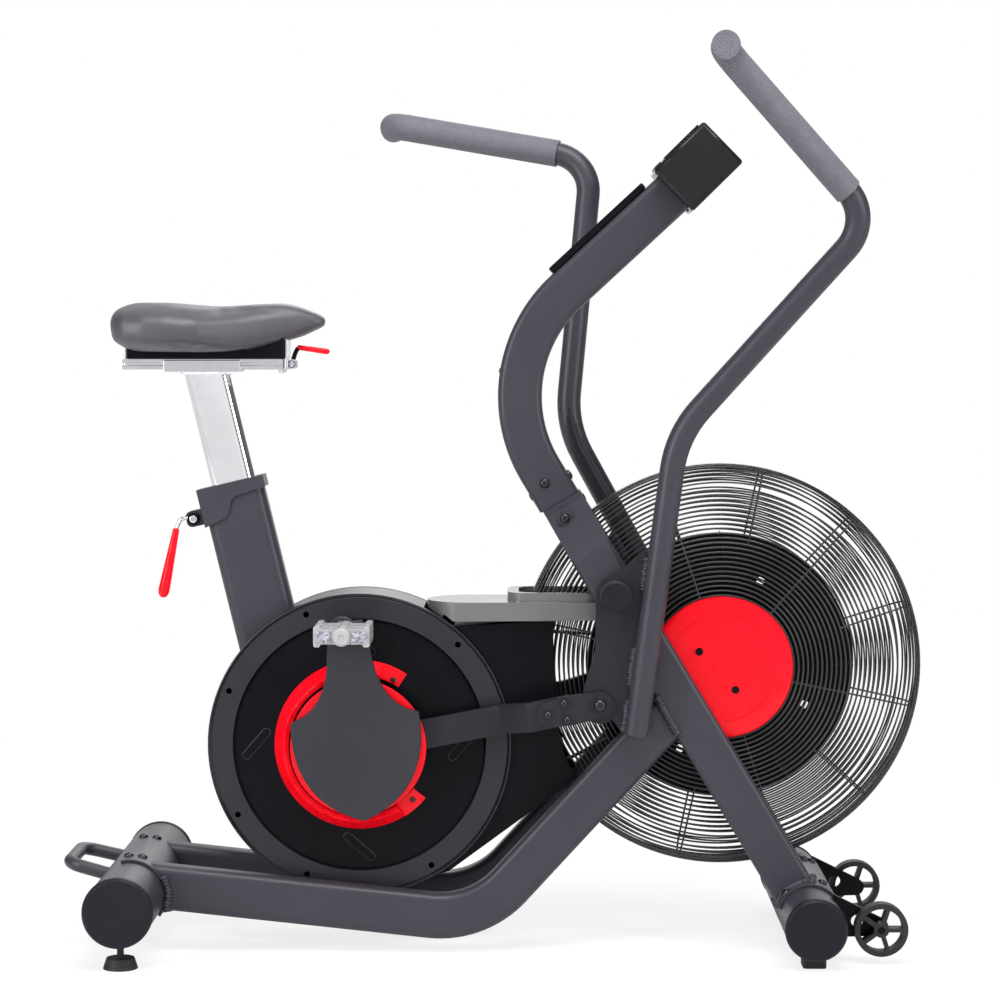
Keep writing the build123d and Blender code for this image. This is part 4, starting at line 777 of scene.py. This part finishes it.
def grille_tree(given):
    """Rings across the dished face, rings round its edge, then the long and the short spokes under them."""
    side = given["Side"]
    index = given["Geometry"].add("GeometryNodeInputIndex")
    centre = given["Centre"]

    def spot(radius_out):
        return centre.add(
            "ShaderNodeVectorMath",
            {0: centre, 1: centre.add("ShaderNodeCombineXYZ", {"Y": side * radius_out})},
            operation="ADD",
        )

    def hoops(count, radius, out, opening):
        """Upright wire hoops, one for each index. Where they are open, both ends are at the opening."""
        spots = centre.add("GeometryNodePoints", {"Count": count, "Position": spot(out)})
        hoop = centre.add("GeometryNodeCurvePrimitiveCircle", {"Resolution": 160, "Radius": 1.0})
        if opening:
            hoop = centre.add("GeometryNodeTrimCurve", {"Curve": hoop, 3: opening}, mode="FACTOR")
        stand = centre.add("ShaderNodeCombineXYZ", {"X": pi / 2, "Y": given["Opening Turn"]})
        return centre.add(
            "GeometryNodeInstanceOnPoints",
            {"Points": spots, "Instance": hoop, "Rotation": stand, "Scale": radius},
        )

    def place(radius, out):
        return centre.add("ShaderNodeCombineXYZ", {"X": radius, "Y": side * out})

    def rays(start, first, missing):
        """Spokes from a radius to the rim, each a straight run and a bend."""
        under = given["Wire Radius"] * 2.2
        lie = given["Hub Face"] - given["Slope"] * (start - given["Cap Radius"]) - under
        knee_place = place(given["Knee"], given["Rim Face"] - under)
        run = centre.add("GeometryNodeCurvePrimitiveLine", {"Start": place(start, lie), "End": knee_place})
        bend_reach = given["Rim Round"] - under
        bend_depth = given["Rim Face"] - under - given["Rim Half"]
        middle = place(given["Knee"] + bend_reach * sin(pi / 4), given["Rim Half"] + bend_depth * cos(pi / 4))
        end = place(given["Knee"] + bend_reach, given["Rim Half"])
        bend = centre.add(
            "GeometryNodeCurveArc",
            {"Resolution": 10, "Start": knee_place, "Middle": middle, "End": end},
            mode="POINTS",
        )
        ray = joined([bend, run])
        spots = centre.add("GeometryNodePoints", {"Count": given["Spoke Pairs"], "Position": centre})
        angle = (first + 360.0 / spoke_pairs * index) * (-pi / 180)
        lean = centre.add("ShaderNodeCombineXYZ", {"Y": angle})
        pair = {2: index, 3: missing}
        chosen = centre.add("FunctionNodeCompare", pair, data_type="INT", operation="NOT_EQUAL")
        return centre.add(
            "GeometryNodeInstanceOnPoints",
            {"Points": spots, "Selection": chosen, "Instance": ray, "Rotation": lean},
        )

    first_ring = given["Cap Radius"] + given["Wire Radius"]
    radius = first_ring + given["Ring Pitch"] * index
    out = given["Hub Face"] - given["Slope"] * (radius - given["Cap Radius"]) - given["Wire Radius"]
    face_hoops = hoops(given["Face Rings"], radius, out, None)
    turn = (index + 1.0) * (pi / 2 / (rim_rings + 1))
    sine = turn.maths("SINE", turn)
    cosine = turn.maths("COSINE", turn)
    rim_radius = given["Knee"] + (given["Rim Round"] - given["Wire Radius"]) * sine
    rim_out = given["Rim Half"] + (given["Rim Face"] - given["Wire Radius"] - given["Rim Half"]) * cosine
    rim_hoops = hoops(given["Rim Rings"], rim_radius, rim_out, given["Closed Share"])
    long_rays = rays(given["Long Start"], 48.0, -1)
    short_rays = rays(given["Short Start"], 78.0, given["Missing"])
    lines = joined([face_hoops, rim_hoops, long_rays, short_rays])
    lines = lines.add("GeometryNodeRealizeInstances", {"Geometry": lines})
    round_wire = {"Resolution": 6, "Radius": given["Wire Radius"]}
    section = centre.add("GeometryNodeCurvePrimitiveCircle", round_wire)
    return lines.add("GeometryNodeCurveToMesh", {"Curve": lines, "Profile Curve": section, "Fill Caps": True})


grille_sizes = {
    "Centre": tuple(cage_middle),
    "Wire Radius": wire_radius,
    "Cap Radius": cap_radius,
    "Hub Face": hub_face,
    "Rim Face": rim_face,
    "Rim Round": rim_round,
    "Rim Half": rim_half,
    "Knee": knee,
    "Slope": face_slope,
    "Ring Pitch": ring_pitch,
    "Face Rings": int((knee - cap_radius) / ring_pitch) + 1,
    "Rim Rings": rim_rings,
    "Spoke Pairs": spoke_pairs,
    "Long Start": cap_radius - 0.012,
    "Short Start": 0.186,
}
right_share = {"Side": -1.0, "Opening Turn": 0.0, "Closed Share": 1.0, "Missing": -1}
left_share = {"Side": 1.0, "Opening Turn": radians(-221.0), "Closed Share": 308.0 / 360.0, "Missing": 2}
for side, share in (("right", right_share), ("left", left_share)):
    start = bpy.data.meshes.new("grille_start")
    grown("grille_" + side, grille_tree, grille_sizes | share, cage_wire, "frame", start, ("cage_" + side,))
for node in ("axle_plates", "cage_rim"):
    rounded(node, cage_wire, edge=0)

# ---------------------------------------------------------------- fan
# A black disc with four small holes and a ring of thin vanes near its rim, on a steel hub. It runs on a
# fixed steel axle between the cage's plates.
disc_reach = 0.199
disc_edge = 0.185
for node in ("fan_axle", "fan_hub"):
    rounded(node, bare_steel)


def trimmed(place):
    """The disc's rim at its full radius and the vanes kept behind it."""
    forward = place.x - cage_middle.x
    up = place.z - cage_middle.z
    reach_out = hypot(forward, up)
    share = disc_reach / reach_out if reach_out > disc_edge else 1.0
    return Vector((cage_middle.x + forward * share, place.y, cage_middle.z + up * share))


rounded("fan_wheel", black_plastic, edge=0, shift=trimmed)

# ---------------------------------------------------------------- cage caps
# A shallow red moulding over the hub of each grille, with a scored line round it. Two screws hold each cap,
# sunk in round wells.
cap_profile = (
    (106.0, 0.2), (105.6, 1.4), (104.0, 3.2), (100.0, 4.3), (90.0, 4.8), (80.9, 5.0),
    (80.5, 4.1), (79.1, 4.1), (78.7, 5.0), (50.0, 5.2), (20.0, 5.3), (1.0, 5.3),
)
well = (((1.0, 0.0), (0.96, 0.10), (0.80, 0.12)), 0.7, 0.06)
cap_head = (((1.0, 0.0), (0.98, 0.2), (0.9, 0.24)), 0.5, 0.06)
for side, mirror in (("right", 1), ("left", -1)):
    stations = []
    for radius, height in cap_profile:
        middle = Vector((cage_middle.x, -mirror * (hub_face + height * MM), cage_middle.z))
        stations.append((middle, radius * MM))
    turned("cage_cap_" + side, stations, red_plastic, "frame", ("cage_caps",) if mirror == 1 else ())
    outward = Vector((0, -mirror, 0))
    spots = []
    for forward, up in ((-34, 24), (20, -33)):
        out = -mirror * (hub_face + 0.0051)
        spots.append(Vector((cage_middle.x + forward * MM, out, cage_middle.z + up * MM)))
    heads("cap_lips_" + side, [(spot, outward, 0.0078) for spot in spots], well, red_plastic, "frame")
    heads("cap_screws_" + side, [(spot, outward, 0.0060) for spot in spots], cap_head, black_plastic, "frame")

# ---------------------------------------------------------------- seat post
# A chromed oval tube that slides in the seat tube, leaning back, and is welded to the sleeve on its top.
# The weld is chromed over.
chrome = clouded("chrome", (40, 2), (0.76, 0.77, 0.79), (0.84, 0.85, 0.87), (0.05, 0.05), Metallic=1.0)
post_top = (-232.2, 860.4)
post_half_long = 35.5
post_half_wide = 17.5
seat_lean = 13.6
sleeve_foot = 0.8615
post_head = 0.75


def by_post(across, along, out=0):
    """A place measured across and along the seat post from the middle of its top."""
    return right(*step(step(post_top, seat_lean, across), seat_lean + 90, along), out)


def reaching(place):
    """The top of the post drawn out along its lean until it meets the sleeve."""
    if place.z < post_head:
        return place
    return place + Vector((-sin(radians(seat_lean)), 0, cos(radians(seat_lean)))) * (
        (sleeve_foot + 0.001 - place.z) / cos(radians(seat_lean))
    )


def signed(base, power):
    """A power of a number's size, with the number's sign."""
    return abs(base) ** power * (1 if base > 0 else -1)


rounded("seat_post", chrome, shift=reaching)
ring = []
for i in range(41):
    turn = 2 * pi * i / 40
    forward = post_top[0] + post_half_long * signed(cos(turn), 0.7)
    ring.append(right(forward, post_top[1], post_half_wide * sin(turn)))
bead_of("post_weld", [ring], "post", chrome, 0.007)

# ---------------------------------------------------------------- slide rail and sleeve
# A plated steel rail slides in a sleeve on the post. The plate at each end of the rail holds the saddle's
# black pan, and two screws go up into the rail's front.
plated = clouded(
    "plated_steel", (60, 3), (0.50, 0.505, 0.54), (0.62, 0.625, 0.66), (0.16, 0.10), Metallic=1.0
)
for node in ("seat_rail", "seat_sleeve"):
    rounded(node, plated, edge=0.0014, segments=3)
rail_level = 865.0
plate_thickness = 4.5
rail_body = body_of_node["seat_rail"]
for name, rear, top in (("rail_plate_rear", -353.5, 899.0), ("rail_plate_front", -112.0, 914.0)):
    front = rear + plate_thickness
    outline = ((rear, rail_level), (front, rail_level), (front, top), (rear, top))
    prism(name, outline, -28, 28, plated, rail_body, edge=0.0012)
pan_outline = (
    (-347.5, 881.2), (-347.5, 897.0), (-180.0, 897.0), (-141.5, 909.8), (-112.5, 914.0), (-112.5, 881.2)
)
pan_body = body_of_node["saddle_base"]
prism("saddle_pan", pan_outline, -38, 38, black_plastic, pan_body, ("saddle_base",), 0.002, 3)
rail_head = (((1.0, 0.0), (1.0, 0.9), (0.8, 1.1)), 0.5, 0.4)
rail_screws = [(right(-118, rail_level, out), Vector((0, 0, -1)), 0.0045) for out in (18, -18)]
heads("rail_screw_heads", rail_screws, rail_head, plated, "saddle_carriage")

# ---------------------------------------------------------------- clamp lever
# A bent wire that turns in the collar's ears and tightens it on the post. It is plated, and its end is
# dipped in red plastic.
ear = (-70.0, -209.4)
lever_body = body_of_node["clamp_lever"]
wire_out = 20
clamp_wire_radius = 0.0031


def arced(points, radius, steps=6):
    """The points of a path with each corner rounded."""
    path = [points[0]]
    for before, corner, after in zip(points, points[1:], points[2:]):
        start = corner + (before - corner).normalized() * radius
        end = corner + (after - corner).normalized() * radius
        for i in range(steps + 1):
            share = i / steps
            path.append(start * (1 - share) ** 2 + corner * 2 * share * (1 - share) + end * share ** 2)
    return path + [points[-1]]


def dipped(name, root, tip, thin, thick, body):
    """A dipped grip: it swells towards its rounded tip."""
    profile = (
        (0.0, 0.55), (0.01, 0.85), (0.03, 1.0), (0.3, 1.0), (0.6, 1.0),
        (0.88, 1.0), (0.94, 0.9), (0.98, 0.65), (1.0, 0.3),
    )
    stations = []
    for share, fill in profile:
        stations.append((root.lerp(tip, share), fill * (thin + (thick - thin) * share)))
    lofted(name, stations, red_plastic, body)


corners = (ear, (-88, -203.4), (-99, -217.4), (-104, -228))
wire_path = arced([by_post(*corner, wire_out) for corner in corners], 0.007)
stations = [(place, clamp_wire_radius) for place in wire_path]
lofted("clamp_wire", stations, plated, lever_body, replaced=("clamp_lever",))
boss_profile = ((-19, 5), (-18, 6), (15.5, 6), (15.6, 9.4), (23, 9.4), (24, 8.4))
boss = [(by_post(*ear, out), radius * MM) for out, radius in boss_profile]
turned("clamp_boss", boss, black_plastic, lever_body, around=24)
clamp_profile = ((1.0, 0.0), (1.0, 0.55), (0.90, 0.65))
clamp_screw = (by_post(*ear, 24), Vector((0, -1, 0)), 0.0056)
heads("clamp_screw", [clamp_screw], (clamp_profile, 0.55, 0.45), plated, lever_body)
grip_root = by_post(-98.5, -216.5, wire_out)
grip_tip = by_post(-144, -313, wire_out)
dipped("clamp_grip", grip_root, grip_tip, 0.0048, 0.0092, lever_body)

# ---------------------------------------------------------------- slide lever
# A short black bent rod on a pin under the saddle's nose, with a red dipped grip. Lifting it frees the
# rail in its sleeve.
slide_body = body_of_node["slide_lever"]
slide_out = 6
slide_pivot = (-103, 873)
corners = (slide_pivot, (-99, 888), (-94, 898), (-84, 897.4))
arm = arced([right(*corner, slide_out) for corner in corners], 0.005)
lofted("slide_arm", [(place, 0.0034) for place in arm], black_plastic, slide_body, replaced=("slide_lever",))
pin = [(right(*slide_pivot, out), radius * MM) for out, radius in ((-11, 5), (-10, 6), (11, 6), (12, 5))]
turned("slide_pin", pin, black_plastic, slide_body, around=20)
slide_screw = (right(*slide_pivot, 12), Vector((0, -1, 0)), 0.0042)
heads("slide_screw", [slide_screw], (clamp_profile, 0.5, 0.4), plated, slide_body)
dipped("slide_grip", right(-95, 898.2, slide_out), right(-46.5, 891.5, slide_out), 0.0038, 0.0046, slide_body)

# ---------------------------------------------------------------- saddle
# A foam pad on a pan with a stretched grey vinyl cover: wide and rounded at the back, dipped in the middle
# and drawn out to a nose. The cover is swollen a little by a cloth run.
vinyl = clouded(
    "vinyl", (12, 3), (0.042, 0.041, 0.051), (0.058, 0.056, 0.069), (0.42, 0.08),
    grained=(1300, 2, 0.15, 0.0004), Specular_IOR_Level=0.5,
)
# each station: forward, half width, crown and underside
saddle_stations = (
    (-370, 44, 941, 908), (-368, 68, 949, 903), (-362, 88, 956, 899.5), (-348, 104, 960.5, 896.5),
    (-318, 117, 961.5, 895), (-280, 120, 961, 894.5), (-240, 112, 957.5, 894), (-205, 94, 955.5, 894),
    (-175, 77, 957.5, 896), (-145, 62, 959.5, 902), (-115, 49, 960.5, 910.5), (-90, 39, 958, 918),
    (-72, 30, 952, 924), (-58, 23, 947, 927), (-50, 15, 943, 930),
)
saddle_around = 40
pan_face = 0.8974


def puffed(piece, voxel, pressure, cap, frames=20):
    """A pad remeshed evenly and swollen by a cloth run, with no point moved further than the cap."""
    remesh = piece.modifiers.new("even", "REMESH")
    remesh.mode = "VOXEL"
    remesh.voxel_size = voxel
    smooth = piece.modifiers.new("soft", "SMOOTH")
    smooth.iterations = 4
    applied(piece)
    before = [vert.co.copy() for vert in piece.data.vertices]
    cloth = piece.modifiers.new("cloth", "CLOTH")
    cloth.settings.use_pressure = True
    cloth.settings.uniform_pressure_force = pressure
    cloth.settings.effector_weights.gravity = 0
    cloth.point_cache.frame_start = 1
    cloth.point_cache.frame_end = frames
    for number in range(1, frames + 1):
        bpy.context.scene.frame_set(number)
    applied(piece)
    for vert, start in zip(piece.data.vertices, before):
        move = vert.co - start
        if move.length > cap:
            vert.co = start + move.normalized() * cap
    bpy.context.scene.frame_set(1)
    subdivision = piece.modifiers.new("fine", "SUBSURF")
    subdivision.levels = subdivision.render_levels = 1
    applied(piece)


work = bmesh.new()
rings = []
for forward, half, crown, underside in saddle_stations:
    waist = underside + 0.42 * (crown - underside)
    ring = []
    for j in range(saddle_around):
        turn = 2 * pi * j / saddle_around
        above = sin(turn) > 0
        reach_up = crown - waist if above else waist - underside
        up = waist + reach_up * signed(sin(turn), 0.74 if above else 0.50)
        ring.append(work.verts.new(right(forward, up, half * signed(cos(turn), 0.72))))
    rings.append(ring)
skin(work, rings)
pad = piece_of("saddle_pad", work, vinyl, body_of_node["saddle"], ("saddle",), edge=0)
puffed(pad, voxel=0.006, pressure=3.0, cap=0.004)
# the pad's underside is flat where it rests on the pan
for vert in pad.data.vertices:
    if abs(vert.co.y) < 0.050 and vert.co.z < 0.905 and -0.36 < vert.co.x - crank_x < -0.17:
        vert.co.z = max(vert.co.z, pan_face)

# ---------------------------------------------------------------- lever grips
# Soft grey foam sleeves pushed over the levers' ends, with open pores and a matt surface.
# They are held by their own stretch.
foam, shader, place = finish("foam", Specular_IOR_Level=0.3)
pores = place.add("ShaderNodeTexVoronoi", {"Vector": place, "Scale": 520.0})
cloud = noise(place, 40, 3)
mottle = cloud * 0.5 + pores * 0.6
feed(shader, "Base Color", shades(place, mottle, (0.070, 0.068, 0.084), (0.150, 0.147, 0.170)))
feed(shader, "Roughness", 0.62 + 0.12 * cloud)
feed(shader, "Normal", grain(place, pores, 0.6, 0.0008))
for side in ("right", "left"):
    rounded("grip_" + side, foam, edge=0.0015, shift=grip_shifts[side])

# ---------------------------------------------------------------- console
# A glossy black moulded box on the mast's end with a screen and rubber keys. A black plate is screwed to
# the mast's upper side below it.
gloss_black = clouded(
    "gloss_black", (20, 2), (0.006, 0.006, 0.007), (0.010, 0.010, 0.011), (0.14, 0.06),
    Specular_IOR_Level=0.25,
)


def nudged(place):
    """The console set 6 mm further up the mast."""
    return place + Vector((0.0058, 0, 0.0012))


rounded("console_housing", gloss_black, edge=0.0022, segments=3, shift=nudged)
rounded("console_screen", gloss_black, edge=0.0010, segments=2, shift=nudged)
rounded("console_keys", rubber, shift=nudged)
rounded("mast_face_plate", black_plastic)

# ---------------------------------------------------------------- studio
# Plain pale floor that fades to white, soft lamps and the camera at its own height in front of the side.
# The floor and the world are seen white by the camera and dimmer by the object.
reach = 60.0
corners = [(-reach, -reach, 0), (reach, -reach, 0), (reach, reach, 0), (-reach, reach, 0)]
floor_mesh = bpy.data.meshes.new("studio_floor")
floor_mesh.from_pydata(corners, [], [(0, 1, 2, 3)])
floor = bpy.data.objects.new("studio_floor", floor_mesh)
bpy.context.collection.objects.link(floor)
floor_paint, shader, place = finish("floor_paint", Roughness=0.9, Specular_IOR_Level=0.0)
shader.inputs["Base Color"].default_value = (0.92, 0.92, 0.92, 1)


def seen_directly(tree):
    """What the camera sees, straight or through glass, and what is seen in a reflection, as 1 or 0."""
    path = tree.nodes.new("ShaderNodeLightPath")
    camera_ray = Value(tree, path.outputs["Is Camera Ray"])
    glossy_ray = Value(tree, path.outputs["Is Glossy Ray"])
    through = Value(tree, path.outputs["Is Transmission Ray"])
    return camera_ray.maths("MAXIMUM", camera_ray, through), glossy_ray


def faded(value, near, far, near_level, far_level):
    """A level that goes from one to another as the value goes from near to far."""
    ends = {"From Min": near, "From Max": far, "To Min": near_level, "To Max": far_level}
    return value.add("ShaderNodeMapRange", {"Value": value} | ends)


tree = floor_paint.node_tree
direct, glossy = seen_directly(tree)
away = place.add("ShaderNodeVectorMath", {0: place}, output="Value", operation="LENGTH")
white = direct.add("ShaderNodeEmission", {"Color": (1, 1, 1, 1), "Strength": 1.0})
shaded = Value(tree, shader.outputs[0])
seen_white = direct * faded(away, 0.7, 2.4, 0.80, 1.0)
mask = direct.maths("MAXIMUM", seen_white, glossy * faded(away, 2.0, 5.0, 0.0, 0.85))
blend = direct.add("ShaderNodeMixShader", {0: mask, 1: shaded, 2: white})
tree.links.new(blend.socket, tree.nodes["Material Output"].inputs["Surface"])
floor_mesh.materials.append(floor_paint)

world = bpy.data.worlds.new("studio")
bpy.context.scene.world = world
world.use_nodes = True
sky = world.node_tree
background = sky.nodes["Background"]
direct, glossy = seen_directly(sky)
heading = direct.add("ShaderNodeTexCoord", output="Generated")
sideways = direct.add("ShaderNodeSeparateXYZ", {0: heading}, output="X")
flags = faded(direct.maths("ABSOLUTE", sideways), 0.35, 0.62, 1.0, 0.16)
level = direct.maths("MAXIMUM", direct, glossy * flags)
level = level.maths("MAXIMUM", level, (1 - glossy) * 0.30)
background.inputs["Color"].default_value = (1, 1, 1, 1)
sky.links.new(level.socket, background.inputs["Strength"])


def lamp(name, location, aim, size, watts, tall=None):
    """A soft lamp that points at a place."""
    light = bpy.data.lights.new(name, "AREA")
    light.size = size
    if tall:
        light.shape = "RECTANGLE"
        light.size_y = tall
    light.energy = watts
    lamp_object = bpy.data.objects.new(name, light)
    lamp_object.location = location
    lamp_object.rotation_euler = (Vector(aim) - Vector(location)).to_track_quat("-Z", "Y").to_euler()
    bpy.context.collection.objects.link(lamp_object)


middle = (0, 0, 0.6)
lamp("top_lamp", (0.2, -1.2, 3.2), middle, 2.2, 95, 1.2)
lamp("left_lamp", (-2.6, -2.0, 1.5), middle, 0.7, 75, 2.0)
lamp("right_lamp", (2.7, -1.8, 1.6), middle, 0.7, 55, 2.0)
lamp("back_lamp", (0.4, 2.6, 2.4), middle, 2.0, 50)

camera_data = bpy.data.cameras.new("camera")
camera_data.sensor_width = 36.0
camera_data.lens = 99.886
camera = bpy.data.objects.new("camera", camera_data)
camera.location = (crank_x + 0.2577, -4.180, 0.9002)
camera.rotation_euler = (pi / 2 - 0.055447, 0, 0.011515)
bpy.context.collection.objects.link(camera)
bpy.context.scene.camera = camera
bpy.context.scene.view_settings.view_transform = "Standard"
